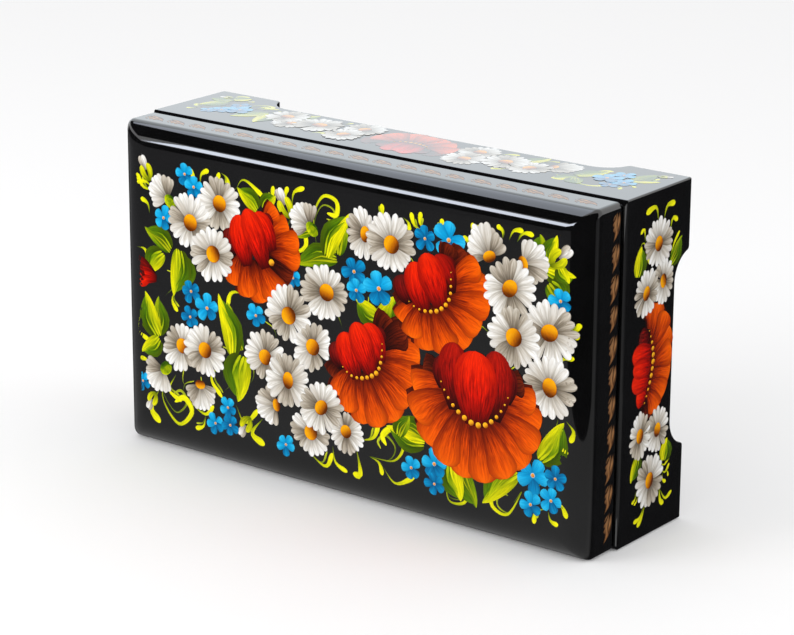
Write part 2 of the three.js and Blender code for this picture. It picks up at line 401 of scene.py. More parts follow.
def arch_stations(low, high):
    """Places along a wall where the arch needs points."""
    start, end, run = arch_curve()
    tip_angle = math.asin((end - start) / FOOT_TIP_ROUNDING)
    curve_angle = math.asin((run - end) / ARCH_CURVE_RADIUS)
    offsets = [start - 0.8]
    offsets += [start + FOOT_TIP_ROUNDING * math.sin(tip_angle * step / 6) for step in range(7)]
    offsets += [run - ARCH_CURVE_RADIUS * math.sin(curve_angle * (1 - step / 14)) for step in range(1, 15)]
    offsets += [run + 1.0]
    first = [low + LONG_FOOT_LENGTH + offset for offset in offsets]
    second = [high - FOOT_LENGTH - offset for offset in reversed(offsets)]
    return first + [(low + high) / 2] + second


def body_shell(material):
    """The four walls under one skin of lacquer, with round edges and the arches between the feet."""
    front, back = body_low[1], body_high[1]
    stations = (arch_stations(body_low[0], body_high[0]), arch_stations(body_low[2], body_high[2]))
    outer = rounded_outline(body_low, body_high, 0, CORNER_RADIUS, stations)
    inner = rounded_outline(body_low, body_high, wall_thickness, INNER_CORNER_RADIUS, stations)
    levels = []
    for x, z, way_x, way_z in outer:
        if abs(way_x) == 1 and abs(z - (body_low[2] + body_high[2]) / 2) < body_high[2] / 2 - CORNER_RADIUS:
            levels.append(arch_level(z, body_low[2], body_high[2], back))
        elif abs(way_z) == 1 and abs(x) < body_high[0] - CORNER_RADIUS:
            levels.append(arch_level(x, body_low[0], body_high[0], back))
        else:
            levels.append(back)

    def pulled_in(value, way, inset, low, high):
        least = inset + 0.05 * (1 - abs(way))
        return min(max(value - way * inset, low + least), high - least)

    def outside(inset, place, side_share=1.0):
        return [(pulled_in(x, wx, inset * side_share, body_low[0], body_high[0]), place(level),
                 pulled_in(z, wz, inset, body_low[2], body_high[2]))
                for (x, z, wx, wz), level in zip(outer, levels)]

    def inside(inset, place):
        return [(x + wx * inset, place(level), z + wz * inset)
                for (x, z, wx, wz), level in zip(inner, levels)]

    rings = [inside(0, lambda level: front + 0.6), inside(0, lambda level: front + 0.3),
             inside(0.3, lambda level: front),
             outside(RIM_BEVEL + 0.3, lambda level: front, RIM_BEVEL_SIDE_SHARE),
             outside(RIM_BEVEL, lambda level: front, RIM_BEVEL_SIDE_SHARE),
             outside(RIM_BEVEL - 0.1, lambda level: front + 0.06, RIM_BEVEL_SIDE_SHARE),
             outside(0.1, lambda level: front + RIM_BEVEL_DEPTH - 0.06),
             outside(0, lambda level: front + RIM_BEVEL_DEPTH),
             outside(0, lambda level: front + RIM_BEVEL_DEPTH + 0.2),
             outside(0, lambda level: level - FOOT_EDGE_RADIUS - 0.25)]
    for step in range(6):
        angle = math.pi / 2 * step / 5
        inset = FOOT_EDGE_RADIUS * (1 - math.cos(angle))
        drop = FOOT_EDGE_RADIUS * (1 - math.sin(angle))
        rings.append(outside(inset, lambda level, drop=drop: level - drop))
    rings.append(outside(FOOT_EDGE_RADIUS + 0.2, lambda level: level))
    for inset, drop in SOFT_EDGE:
        rings.append(inside(inset, lambda level, drop=drop: level - drop))
    points, faces = skin(rings, closed=True)
    return mesh_piece("body_shell", points, faces, material)


def lid_shell(material):
    """Lid rails and board under one skin of lacquer: a wide elliptical roundover towards the face."""
    face_y, back_y = lid_low[1], lid_high[1]
    rail_front = face_y + crown_depth

    def ring(inset, radius, y):
        outline = rounded_outline(lid_low, lid_high, inset, radius, ([], []), corner_steps=14)
        return [(x, y, z) for x, z, _, _ in outline]

    def crown_radius(inset):
        share = (inset / CROWN_REACH) ** 0.7
        return LID_CORNER_RADIUS + (LID_FACE_CORNER_RADIUS - LID_CORNER_RADIUS) * share

    rings = [ring(CROWN_REACH + 0.5, LID_FACE_CORNER_RADIUS, face_y)]
    steps = 28
    for step in range(steps + 1):
        angle = math.pi / 2 * step / steps
        inset = CROWN_REACH * (1 - math.sin(angle))
        rings.append(ring(inset, crown_radius(inset), face_y + crown_depth * (1 - math.cos(angle))))
    rings.append(ring(0, LID_CORNER_RADIUS, rail_front + 0.3))
    rings.append(ring(0, LID_CORNER_RADIUS, back_y - LID_RIM_RADIUS - 0.2))
    for step in range(7):
        angle = math.pi / 2 * step / 6
        inset = LID_RIM_RADIUS * (1 - math.cos(angle))
        rings.append(ring(inset, LID_CORNER_RADIUS, back_y - LID_RIM_RADIUS * (1 - math.sin(angle))))
    rings.append(ring(LID_RIM_RADIUS + 0.2, LID_CORNER_RADIUS, back_y))
    for inset, drop in SOFT_EDGE:
        rings.append(ring(rail_thickness - inset, LID_INNER_CORNER_RADIUS, back_y - drop))
    for inset, y in ((0, rail_front + 0.2), (0, rail_front), (0.3, rail_front)):
        rings.append(ring(rail_thickness + inset, LID_INNER_CORNER_RADIUS, y))
    points, faces = skin(rings, closed=False)
    return mesh_piece("lid_shell", points, faces, material)


def lining(name, node, material):
    """A card covered in velvet: flat, with its edges turned over in a soft round."""
    low, high = box_of([node])
    edge = (high[1] - low[1]) / 2

    def ring(inset, y):
        outline = rounded_outline(low, high, inset, LINING_CORNER_RADIUS, ([], []), corner_steps=8)
        return [(x, y, z) for x, z, _, _ in outline]

    rings = [ring(edge + 0.6, low[1])]
    for step in range(13):
        angle = math.pi * step / 12
        rings.append(ring(edge * (1 - math.sin(angle)), low[1] + edge * (1 - math.cos(angle))))
    rings.append(ring(edge + 0.6, high[1]))
    points, faces = skin(rings, closed=False)
    return mesh_piece(name, points, faces, material)


# Painting: every motif is a few brush strokes, each a thin sheet of paint on the lacquer

# In millimetres: how far a motif lies above what is painted under it, how far its own layers lie
# apart, and how wide the squares are in which the height of the paint is known
PAINT_GAP = 0.008
PAINT_STEP = 0.003
CELL = 2.0


def lid_surface(u, v):
    """Depth of the lid's front at a place on it: level on the face, and falling away on the roundover."""
    inset = np.minimum.reduce([u - lid_low[0], lid_high[0] - u, v - lid_low[2], lid_high[2] - v])
    rise = np.clip(1 - inset / CROWN_REACH, 0, 0.98)
    drop = crown_depth * (1 - np.sqrt(1 - rise * rise))
    return np.stack([u, lid_face_y + drop, v], axis=-1)


def flat_surface(axis, level):
    """A wall of the box. The two coordinates are the model's other two axes, in order."""
    def place(u, v):
        parts = [u, v]
        parts.insert(axis, np.full_like(u, level))
        return np.stack(parts, axis=-1)
    return place


class Painting:
    """Collects brush strokes on one side of the box and lays later ones over earlier ones."""

    def __init__(self, surface, normal, seed):
        self.surface = surface
        self.normal = np.array(normal, dtype=float)
        self.random = random.Random(seed)
        self.ground = {}
        self.motif = []
        self.done = []

    def stroke(self, points, width, profile, paint, level=0, rows=9, bend=0.0, edge=0.25, side=0.0,
               columns=7, second=None):
        """One brush stroke along a line of points. Its half width is in millimetres at the widest.
        A second paint is the one on the left-hand half of a brush loaded with two."""
        t = (1 - np.cos(np.pi * np.arange(rows + 1) / rows)) / 2
        line, way, length = sample(points, t, bend)
        across = np.stack([-way[:, 1], way[:, 0]], axis=1)
        s = {7: [-1, -0.8, -0.4, 0, 0.4, 0.8, 1], 5: [-1, -0.55, 0, 0.55, 1]}[columns]
        s = np.array(s, dtype=float)
        half = np.maximum(profile(t), 0.02) * width
        grid = line[:, None, :] + across[:, None, :] * (half[:, None] * s[None, :])[:, :, None]
        body = paint.body(t)[:, None, :] * np.ones((1, len(s), 1))
        streak = paint.streak(t)[:, None, :] * np.ones((1, len(s), 1))
        if second is not None:
            share = np.clip(s * 0.7 + 0.5, 0, 1)[None, :, None]
            body = body * (1 - share) + second.body(t)[:, None, :] * share
            streak = streak * (1 - share) + second.streak(t)[:, None, :] * share
        dim = 1 - edge * np.clip((np.abs(s) - 0.55) / 0.45, 0,
                                 1) - abs(side) * np.clip(s * np.sign(side or 1), 0, 1)
        body = body * dim[None, :, None]
        load = paint.load(t)[:, None] + 0.18 * np.abs(s)[None, :] ** 2
        offset = (self.random.uniform(0, 90), self.random.uniform(0, 90), self.random.uniform(0, 30))
        grain = np.zeros(grid.shape[:2] + (3,))
        grain[..., 0] = s[None, :] * width + offset[0]
        grain[..., 1] = (t * length)[:, None] + offset[1]
        grain[..., 2] = offset[2]
        self.sheet(grid, body, streak, load, grain, level)

    def disc(self, centre, radius, paint, level=0, squash=1.0, turn=0.0, shade=None, rings=3, steps=16):
        """A round dab. Shade is the way, in degrees, in which it darkens."""
        r = np.linspace(0, 1, rings + 1)[:, None]
        a = np.linspace(0, 2 * np.pi, steps, endpoint=False)[None, :]
        x = radius * r * np.cos(a)
        y = radius * squash * r * np.sin(a)
        c, n = math.cos(math.radians(turn)), math.sin(math.radians(turn))
        grid = np.stack([centre[0] + c * x - n * y, centre[1] + n * x + c * y], axis=-1)
        dark = np.zeros(grid.shape[:2])
        if shade is not None:
            way = math.radians(shade - turn)
            dark = np.clip(r * np.cos(a - way) * 0.75 + 0.4, 0, 1)
        body = paint.body(dark.ravel()).reshape(dark.shape + (3,))
        streak = paint.streak(dark.ravel()).reshape(dark.shape + (3,))
        load = paint.load(dark.ravel()).reshape(dark.shape)
        offset = (self.random.uniform(0, 90), self.random.uniform(0, 90), self.random.uniform(0, 30))
        grain = np.zeros(grid.shape[:2] + (3,))
        grain[..., 0] = x * 0.8 + offset[0]
        grain[..., 1] = y * 3 + offset[1]
        grain[..., 2] = offset[2]
        self.sheet(grid, body, streak, load, grain, level, around=True)

    def sheet(self, grid, body, streak, load, grain, level, around=False):
        self.motif.append((grid, np.clip(body, 0, 1), np.clip(streak, 0, 1), np.clip(load, 0, 1), grain,
                           level, around))

    def settle(self):
        """Ends a motif: it lies on whatever is painted under it already."""
        if not self.motif:
            return
        cells = set()
        for grid, *_ in self.motif:
            for u, v in np.floor(grid.reshape(-1, 2) / CELL).astype(int):
                cells.add((int(u), int(v)))
        wide = {(u + i, v + j) for u, v in cells for i in (-1, 0, 1) for j in (-1, 0, 1)}
        base = max(self.ground.get(cell, 0.0) for cell in wide) + PAINT_GAP
        top = base
        for grid, body, streak, load, grain, level, around in self.motif:
            height = base + level * PAINT_STEP
            top = max(top, height)
            self.done.append((grid, height, body, streak, load, grain, around))
        for cell in wide:
            self.ground[cell] = top
        self.motif = []

    def finish(self, name, material):
        """Makes one mesh of all strokes so far."""
        self.settle()
        points, faces, bodies, streaks, loads, grains = [], [], [], [], [], []
        start = 0
        for grid, height, body, streak, load, grain, around in self.done:
            rows, columns = grid.shape[:2]
            place = self.surface(grid[..., 0].ravel(), grid[..., 1].ravel()) + self.normal * height
            points.append(place)
            index = start + np.arange(rows * columns).reshape(rows, columns)
            if around:
                nearer, wrapped = index, np.roll(index, -1, axis=1)
                quads = np.stack([nearer[:-1], nearer[1:], wrapped[1:], wrapped[:-1]], axis=-1)
            else:
                quads = np.stack([index[:-1, :-1], index[:-1, 1:], index[1:, 1:], index[1:, :-1]], axis=-1)
            faces.append(quads.reshape(-1, 4))
            bodies.append(body.reshape(-1, 3))
            streaks.append(streak.reshape(-1, 3))
            loads.append(load.ravel())
            grains.append(grain.reshape(-1, 3))
            start += rows * columns
        points = np.concatenate(points) * MM
        faces = np.concatenate(faces)
        first, second, third = (points[faces[:, k]] for k in (0, 1, 2))
        facing = np.einsum("ij,j->i", np.cross(second - first, third - first), self.normal)
        fourth = points[faces[:, 3]]
        facing += np.einsum("ij,j->i", np.cross(third - first, fourth - first), self.normal)
        faces[facing < 0] = faces[facing < 0][:, ::-1]
        mesh = bpy.data.meshes.new(name)
        mesh.from_pydata(points.tolist(), [], faces.tolist())
        colours = {"body_colour": np.concatenate(bodies), "streak_colour": np.concatenate(streaks)}
        for key, values in colours.items():
            full = np.concatenate([values, np.ones((len(values), 1))], axis=1)
            mesh.attributes.new(key, "FLOAT_COLOR", "POINT").data.foreach_set("color", full.ravel())
        mesh.attributes.new("load", "FLOAT", "POINT").data.foreach_set("value", np.concatenate(loads))
        mesh.attributes.new("grain", "FLOAT_VECTOR", "POINT").data.foreach_set(
            "vector", np.concatenate(grains).ravel())
        mesh.polygons.foreach_set("use_smooth", [True] * len(mesh.polygons))
        mesh.materials.append(material)
        mesh.update()
        return new_object(name, mesh)


def sample(points, t, bend):
    """Smooth line through points at shares t of its length: places, directions and the length."""
    points = np.array(points, dtype=float)
    if len(points) == 2:
        along = points[1] - points[0]
        aside = np.array([-along[1], along[0]])
        points = np.array([points[0], (points[0] + points[1]) / 2 + aside * bend, points[1]])
    ends = np.concatenate([[2 * points[0] - points[1]], points, [2 * points[-1] - points[-2]]])
    fine = []
    for a, b, c, d in zip(ends[:-3], ends[1:-2], ends[2:-1], ends[3:]):
        q = np.linspace(0, 1, 24, endpoint=False)[:, None]
        fine.append(0.5 * (2 * b + (c - a) * q + (2 * a - 5 * b + 4 * c - d) * q ** 2
                           + (3 * b - a - 3 * c + d) * q ** 3))
    fine = np.concatenate(fine + [points[-1:]])
    steps = np.linalg.norm(np.diff(fine, axis=0), axis=1)
    length = np.concatenate([[0], np.cumsum(steps)])
    share = length / length[-1]
    line = np.stack([np.interp(t, share, fine[:, k]) for k in (0, 1)], axis=1)
    ahead = np.stack([np.interp(np.clip(t + 0.02, 0, 1), share, fine[:, k]) for k in (0, 1)], axis=1)
    behind = np.stack([np.interp(np.clip(t - 0.02, 0, 1), share, fine[:, k]) for k in (0, 1)], axis=1)
    way = ahead - behind
    way /= np.maximum(np.linalg.norm(way, axis=1, keepdims=True), 1e-9)
    return line, way, length[-1]


class Paint:
    """What is on the brush: the colours along the stroke, the streak colours, and how streaky it is."""

    def __init__(self, body, streak, load):
        self.body_stops = [(place, linear(code)) for place, code in spaced(body)]
        self.streak_stops = [(place, linear(code)) for place, code in spaced(streak)]
        self.load_stops = spaced(load)

    def body(self, t):
        return along_stops(self.body_stops, t)

    def streak(self, t):
        return along_stops(self.streak_stops, t)

    def load(self, t):
        return np.interp(t, [p for p, _ in self.load_stops], [v for _, v in self.load_stops])

    def towards(self, code, share):
        """The same paint with another colour mixed in."""
        other = Paint(["#000000"], ["#000000"], [0])
        added = linear(code)
        other.body_stops = [(p, c * (1 - share) + added * share) for p, c in self.body_stops]
        other.streak_stops = [(p, c * (1 - share) + added * share) for p, c in self.streak_stops]
        other.load_stops = self.load_stops
        return other


def spaced(values):
    """Spreads plain values evenly over 0 to 1, and leaves (place, value) entries as they are."""
    if isinstance(values[0], tuple):
        return values
    return [(k / max(len(values) - 1, 1), value) for k, value in enumerate(values)]


def along_stops(entries, t):
    places = [p for p, _ in entries]
    return np.stack([np.interp(t, places, [c[k] for _, c in entries]) for k in range(3)], axis=-1)


# Outlines of a stroke from its root at 0 to its tip at 1, as shares of the half width

def petal_outline(t):
    grow = 0.3 + 0.7 * np.sin(np.clip(t / 0.74, 0, 1) * np.pi / 2) ** 1.1
    return grow * np.sqrt(np.clip(1 - (np.clip(t - 0.74, 0, 1) / 0.26) ** 2, 0, 1))


def comma_outline(t):
    grow = np.clip(t / 0.82, 0, 1) ** 1.5 * 0.92 + 0.08
    return grow * np.sqrt(np.clip(1 - (np.clip(t - 0.82, 0, 1) / 0.18) ** 2, 0, 1))


def leaf_outline(t):
    return np.clip(t, 0, 1) ** 0.45 * np.clip(1 - t, 0, 1) ** 0.75 * 1.72


def crescent_outline(t):
    return np.sin(np.pi * np.clip(t, 0, 1)) ** 1.2


def broad_outline(t):
    grow = 0.35 + 0.65 * np.sin(np.clip(t / 0.62, 0, 1) * np.pi / 2)
    return grow * np.clip(1 - (np.clip(t - 0.62, 0, 1) / 0.38) ** 2.6, 0, 1) ** 0.5


def fan_outline(t):
    grow = 0.2 + 0.8 * np.clip(t / 0.8, 0, 1)
    return grow * np.clip(1 - (np.clip(t - 0.8, 0, 1) / 0.2) ** 2.4, 0, 1) ** 0.5


def cup_outline(t):
    grow = 0.42 + 0.58 * np.sin(np.clip(t / 0.6, 0, 1) * np.pi / 2)
    return grow * np.clip(1 - (np.clip(t - 0.6, 0, 1) / 0.4) ** 2.2, 0, 1) ** 0.5


# Paints, as seen on traditional flower work on black

WHITE_LIT = Paint(["#8E867A", "#E4E0D8", "#F9F8F5", "#FFFFFF"], ["#6E6558", "#BDB5A8", "#DAD5CB"],
                  [0.85, 0.5, 0.28])
WHITE_SHADED = Paint(["#5E5548", "#A89C8D", "#CDC3B3", "#E0D9CD"], ["#443C31", "#807564", "#AA9F8E"],
                     [0.85, 0.57, 0.38])
EYE = Paint([(0.0, "#EE9E04"), (0.35, "#DC8A04"), (0.7, "#B05A04"), (1.0, "#5A2604")],
            ["#F8B010", "#B46404", "#4A1C02"], [0.4, 0.5, 0.45])
EYE_RIM = Paint(["#A04C06", "#662A04"], ["#D87E0E", "#4A1C02"], [0.4, 0.5])
RED_FRONT = Paint([(0.0, "#4A0402"), (0.14, "#A00A02"), (0.34, "#E41402"), (0.7, "#F62400"),
                   (1.0, "#EE2C04")],
                  ["#3A0302", "#800602", "#C41002"], [0.7, 0.4, 0.25])
RED_BESIDE = Paint([(0.0, "#2A0402"), (0.2, "#6A0804"), (0.55, "#B81006"), (0.9, "#C01A08"),
                    (1.0, "#A0160A")],
                   ["#1E0302", "#560502", "#8A0A04"], [0.75, 0.5, 0.35])
RED_SIDE = Paint([(0.0, "#1E0303"), (0.2, "#5E0606"), (0.6, "#9A120C"), (0.9, "#7A1C16"), (1.0, "#4A1210")],
                 ["#140303", "#3A0504", "#5A0E0A"], [0.75, 0.55, 0.5])
SKIRT = Paint([(0.0, "#420802"), (0.2, "#9A2402"), (0.45, "#E44A00"), (0.85, "#F45E00"), (1.0, "#F66A04")],
              ["#2E0602", "#7A1A02", "#D04200"], [0.85, 0.5, 0.2])
SKIRT_DARK = Paint(["#140402", "#3E0A03", "#6E1C06", "#8A2C0C"], ["#0A0202", "#260603", "#420E04"],
                   [0.8, 0.7, 0.5])
BEAD = Paint([(0.0, "#FFBA18"), (0.5, "#F49A0A"), (1.0, "#9A4C04")], ["#FFD040", "#7E3E04"], [0.2, 0.3])
BLUE_LIT = Paint(["#0490C4", "#10AEE6", "#38C8F2"], ["#0478B4", "#109CD4"], [0.5, 0.25])
BLUE_SHADED = Paint(["#045C90", "#0684BC", "#0C9CD2"], ["#044874", "#066CA4"], [0.55, 0.3])
DOT_ORANGE = Paint(["#F0A040", "#D07A20"], ["#FFC070", "#904008"], [0.2, 0.3])
DOT_PALE = Paint(["#B0DCEC", "#80C8EC"], ["#90CCE8", "#60B8E8"], [0.3, 0.4])
LEAF_DARK = Paint(["#122C02", "#2C5402", "#4A7806", "#6A960A"], ["#0C2002", "#1C3A02", "#345C04"],
                  [0.7, 0.6, 0.5])
LEAF_LIGHT = Paint(["#3A5E02", "#7E9E04", "#B8C408", "#CCD40C"], ["#264402", "#527802", "#8EA406"],
                   [0.65, 0.55, 0.4])
LEAF_YELLOW = Paint(["#A0AC04", "#ECE004", "#FAF00C", "#E8E410"], ["#6A8402", "#B0B404", "#D8D808"],
                    [0.6, 0.4, 0.3])
CURL = Paint([(0.0, "#5A700C"), (0.25, "#B4BE0E"), (0.55, "#ECE60C"), (1.0, "#FCF614")],
             ["#3C500A", "#9AAA0C", "#D8D60C"], [0.5, 0.35, 0.2])
CURL_DIM = Paint(["#2E3E10", "#6A7E16", "#B4BE20", "#DCE030"], ["#202C0C", "#4E6214", "#8C9A1C"],
                 [0.6, 0.5, 0.4])
CALYX = Paint(["#6A7A04", "#D0D006", "#F8F018"], ["#4A5C02", "#A4AC06"], [0.5, 0.3])
ROPE = Paint([(0.0, "#94602E"), (0.35, "#E2A468"), (0.7, "#CC8A50"), (1.0, "#98622E")],
             ["#2A1608", "#4A2A10", "#2E1A0C"], [0.55, 0.42, 0.6])
ROPE_DARK = Paint(["#3A200C", "#6E4420", "#5A3418"], ["#1E1006", "#3A2410", "#2A180C"], [0.6, 0.5, 0.5])


# Motifs

def turned(x, y, stretch=1.0, lean=0.0):
    """A vector squashed along one way: lean is the way in degrees that keeps its length."""
    c, n = math.cos(math.radians(lean)), math.sin(math.radians(lean))
    along, aside = c * x + n * y, (-n * x + c * y) * stretch
    return c * along - n * aside, n * along + c * aside


def stepped(point, degrees, length):
    """The place that lies a length away from a point, on the way given in degrees."""
    way = math.radians(degrees)
    return point[0] + length * math.cos(way), point[1] + length * math.sin(way)


def petals(art, centre, eye, radius, count, span, squash, lean, shade, width=0.145):
    """A ring or a fan of petals: each runs from the eye to an ellipse round the centre."""
    first, last = span
    for k in range(count):
        angle = first + (last - first) * (k + 0.5) / count
        angle += art.random.uniform(-0.22, 0.22) * (last - first) / count
        reach = radius * art.random.uniform(0.93, 1.05)
        way = math.radians(angle)
        tip = turned(math.cos(way) * reach, math.sin(way) * reach, squash, lean)
        tip = (centre[0] + tip[0], centre[1] + tip[1])
        way = (tip[0] - eye[0], tip[1] - eye[1])
        root = (eye[0] + way[0] * 0.16, eye[1] + way[1] * 0.16)
        lit = 0.5 + 0.5 * math.cos(2 * math.radians(angle - shade)) + art.random.uniform(-0.22, 0.22)
        paint = WHITE_LIT if lit > 0.45 else WHITE_SHADED
        if 0.3 < lit < 0.6:
            paint = WHITE_LIT.towards("#B8AD9C", 0.35)
        length = math.hypot(*way)
        half = radius * width * (0.55 + 0.45 * length / radius) * art.random.uniform(0.92, 1.1)
        art.stroke([root, tip], half, petal_outline, paint, level=(2 * k) % 5,
                   bend=art.random.uniform(-0.05, 0.05), edge=0.34, side=art.random.uniform(-0.14, 0.14))


def eye_dab(art, eye, radius, squash, turn, shade):
    art.disc(eye, radius, EYE_RIM, level=5, squash=squash, turn=turn, shade=shade)
    middle = stepped(eye, shade, -0.05 * radius)
    art.disc(middle, radius * 0.93, EYE, level=6, squash=squash, turn=turn, shade=shade, rings=4, steps=20)


def daisy(art, middle, radius, squash=1.0, lean=0.0, eye=(0.0, 0.0), shade=None, oval=(1.0, 0.0)):
    """Full daisy. Eye is its offset from the middle, and oval the squash and turn of the eye itself."""
    shade = art.random.uniform(0, 180) if shade is None else shade
    count = max(14, round(20 * (0.5 + 0.5 * squash)))
    spot = (middle[0] + eye[0], middle[1] + eye[1])
    petals(art, middle, spot, radius * 1.06, count, (0, 360), squash, lean, shade)
    eye_dab(art, spot, radius * 0.33, oval[0], oval[1], art.random.choice([-60, -30, 30, -100]))
    art.settle()


def half_daisy(art, eye, tip_way, radius, spread=170, green=True, squash=0.8, count=11):
    """Daisy seen from the side: a fan of petals on an oval calyx."""
    middle = stepped(eye, tip_way, radius * 0.12)
    petals(art, middle, eye, radius * 1.08, count, (tip_way - spread / 2, tip_way + spread / 2), squash,
           tip_way, tip_way + 20, width=0.15)
    if green:
        spot = stepped(eye, tip_way + 180, radius * 0.14)
        art.disc(spot, radius * 0.36, LEAF_LIGHT, level=5, squash=0.75, turn=tip_way, shade=tip_way + 60)
        art.disc((spot[0] + 0.9, spot[1] - 0.4), radius * 0.26, LEAF_YELLOW, level=6, squash=0.6,
                 turn=tip_way)
    else:
        eye_dab(art, eye, radius * 0.28, 0.72, tip_way + 90, tip_way + 180)
    art.settle()


def poppy(art, arc, cup, skirt, ghosts=(), count=13, largest=1.15):
    """Poppy: a skirt of drooping orange petals, a deep red cup above it, and a string of beads
    along the arc where they meet. A cup petal is a place along the arc, a tip, a half width and a paint."""
    shares = np.linspace(0.02, 0.98, len(skirt))
    roots, _, _ = sample(arc, shares, 0)
    heart = np.mean([petal[1] for petal in cup], axis=0)
    tips = np.array(skirt, dtype=float)
    for layer in (0, 1):
        for k, tip in enumerate(tips):
            root = roots[k] * 0.86 + heart * 0.14
            way = tip - root
            length = float(np.hypot(*way))
            gaps = [np.hypot(*(tips[j] - tip)) for j in (k - 1, k + 1) if 0 <= j < len(tips)]
            half = min(float(np.mean(gaps)) * 0.68, length * 0.45)
            droop = 0.10 * (k / (len(tips) - 1) - 0.5) * 2
            aside = np.array([-way[1], way[0]])
            middle = root + way * 0.55 + aside * droop
            if layer == 0:
                art.stroke([root, middle, root + way * 0.93], half * 1.25, fan_outline, SKIRT_DARK,
                           level=k % 3, rows=8)
                continue
            paint = SKIRT_DARK if k in ghosts else SKIRT
            art.stroke([root, middle, tip], half, fan_outline, paint, level=(2 * k) % 5, rows=12,
                       edge=0.62, side=art.random.uniform(-0.3, 0.3))
        art.settle()
    for k, (share, tip, half, paint) in enumerate(cup):
        tip = np.array(tip) * 0.84 + heart * 0.16
        half *= 0.86
        root = sample(arc, np.array([share]), 0)[0][0]
        way = tip - root
        bow = root + way * 0.5 + np.array([-way[1], way[0]]) * (0.5 - share) * 0.18
        art.stroke([root - way * 0.02, bow, tip], half, cup_outline, paint, level=k, rows=12, edge=0.5,
                   side=art.random.uniform(-0.2, 0.2))
    art.settle()
    if count:
        beads(art, arc, count, largest)


def beads(art, arc, count=13, largest=1.15):
    t = np.linspace(0, 1, count)
    line, _, _ = sample(arc, t, 0)
    for k, spot in enumerate(line):
        size = largest * (0.3 + 0.7 * math.sin(math.pi * t[k]) ** 1.5) * art.random.uniform(0.85, 1.1)
        art.disc(tuple(spot), size, BEAD, level=k % 3, shade=-60, rings=2, steps=12)
    art.settle()


def forget_me_not(art, x, y, radius, lit):
    first = art.random.uniform(0, 72)
    for k in range(5):
        angle = math.radians(first + 72 * k + art.random.uniform(-7, 7))
        reach = radius * art.random.uniform(1.0, 1.2)
        tip = (x + reach * math.cos(angle), y + reach * math.sin(angle))
        bright = lit and math.cos(angle - math.radians(110)) > -0.5
        paint = BLUE_LIT if bright else BLUE_SHADED
        art.stroke([(x, y), tip], radius * 0.43, petal_outline, paint,
                   level=(2 * k) % 5, rows=7, bend=art.random.uniform(-0.06, 0.06), edge=0.32, columns=5,
                   side=art.random.uniform(-0.3, 0.3))
    art.disc((x, y), radius * 0.15, DOT_PALE, level=6, rings=2, steps=10)
    art.disc((x, y), radius * 0.13, DOT_ORANGE, level=7, shade=-60, rings=2, steps=10)
    art.settle()


def leaf(art, root, tip, width, kind, bend):
    """Leaf laid in with a brush that holds two greens: a lobe behind, one in front, and a light rib."""
    root, tip = np.array(root, dtype=float), np.array(tip, dtype=float)
    way = tip - root
    length = float(np.hypot(*way))
    aside = np.array([-way[1], way[0]]) / length
    hand = 1 if bend >= 0 else -1

    def line(offset, bow, reach=1.0):
        start = root + aside * offset * 0.55
        middle = root + way * 0.45 * reach + aside * (offset + bow * length)
        late = root + way * 0.8 * reach + aside * (offset * 0.55 + bow * length * 0.5)
        return [start, middle, late, root + way * reach + aside * (0.0 if reach == 1 else offset * 0.3)]

    width *= 1.22
    dull = LEAF_DARK.towards("#7A8C06", 0.25)
    front = {"dark": dull, "light": LEAF_LIGHT, "yellow": LEAF_YELLOW}[kind]
    bright = LEAF_LIGHT if kind == "dark" else LEAF_YELLOW
    shift = width * 0.5 * hand
    art.stroke(line(shift, bend, 0.9), width * 0.8, leaf_outline, LEAF_DARK if hand > 0 else dull, level=0,
               rows=12,
               edge=0.25, second=dull if hand > 0 else LEAF_DARK)
    first, second = (bright, front) if hand > 0 else (front, bright)
    art.stroke(line(-shift * 0.9, bend * 0.5), width * 0.85, leaf_outline, first, level=1, rows=12,
               edge=0.2, second=second)
    art.stroke(line(0.1 * shift, bend * 0.7, 0.8), width * 0.4, leaf_outline,
               dull if kind == "dark" else LEAF_LIGHT, level=2,
               rows=10, edge=0.1, second=LEAF_DARK if hand > 0 else None)
    for offset, reach in ((-1.3, 0.9), (-0.5, 0.7), (0.6, 0.85)):
        art.stroke(line(offset * shift, bend * 0.8, reach)[::-1], width * 0.13, comma_outline,
                   front.towards("#E0DC10", 0.45) if offset < 0 else LEAF_LIGHT,
                   level=3, rows=10, edge=0, columns=5)
    art.settle()


# Half width of a curl, where its own row gives none
CURL_WIDTH = 1.2


def strokes_of(art, paths, twin=True):
    """Curls, each from its thin root to its round head, mostly with a thinner one beside it."""
    for path in paths:
        points = np.array([p for p in path if isinstance(p, tuple)], dtype=float)
        wide = next((p for p in path if not isinstance(p, tuple)), CURL_WIDTH)
        length = float(np.sum(np.hypot(*np.diff(points, axis=0).T)))
        bend = art.random.choice([-0.24, 0.24])
        rows = max(12, int(length / 0.9))
        if twin and wide < 1.6 and art.random.random() < 0.7:
            aside = np.array([art.random.uniform(-1.3, 1.3), art.random.uniform(-1.3, 1.3)])
            pull = points[0] * 0.2 + points * 0.8
            art.stroke(pull + aside * np.linspace(0.1, 1, len(points))[:, None], wide * 0.45, comma_outline,
                       CURL_DIM, rows=rows, bend=bend, edge=0.1, columns=5)
        art.stroke(points, wide, comma_outline, CURL, level=1, rows=rows, bend=bend, edge=0.15, columns=5)
        art.settle()


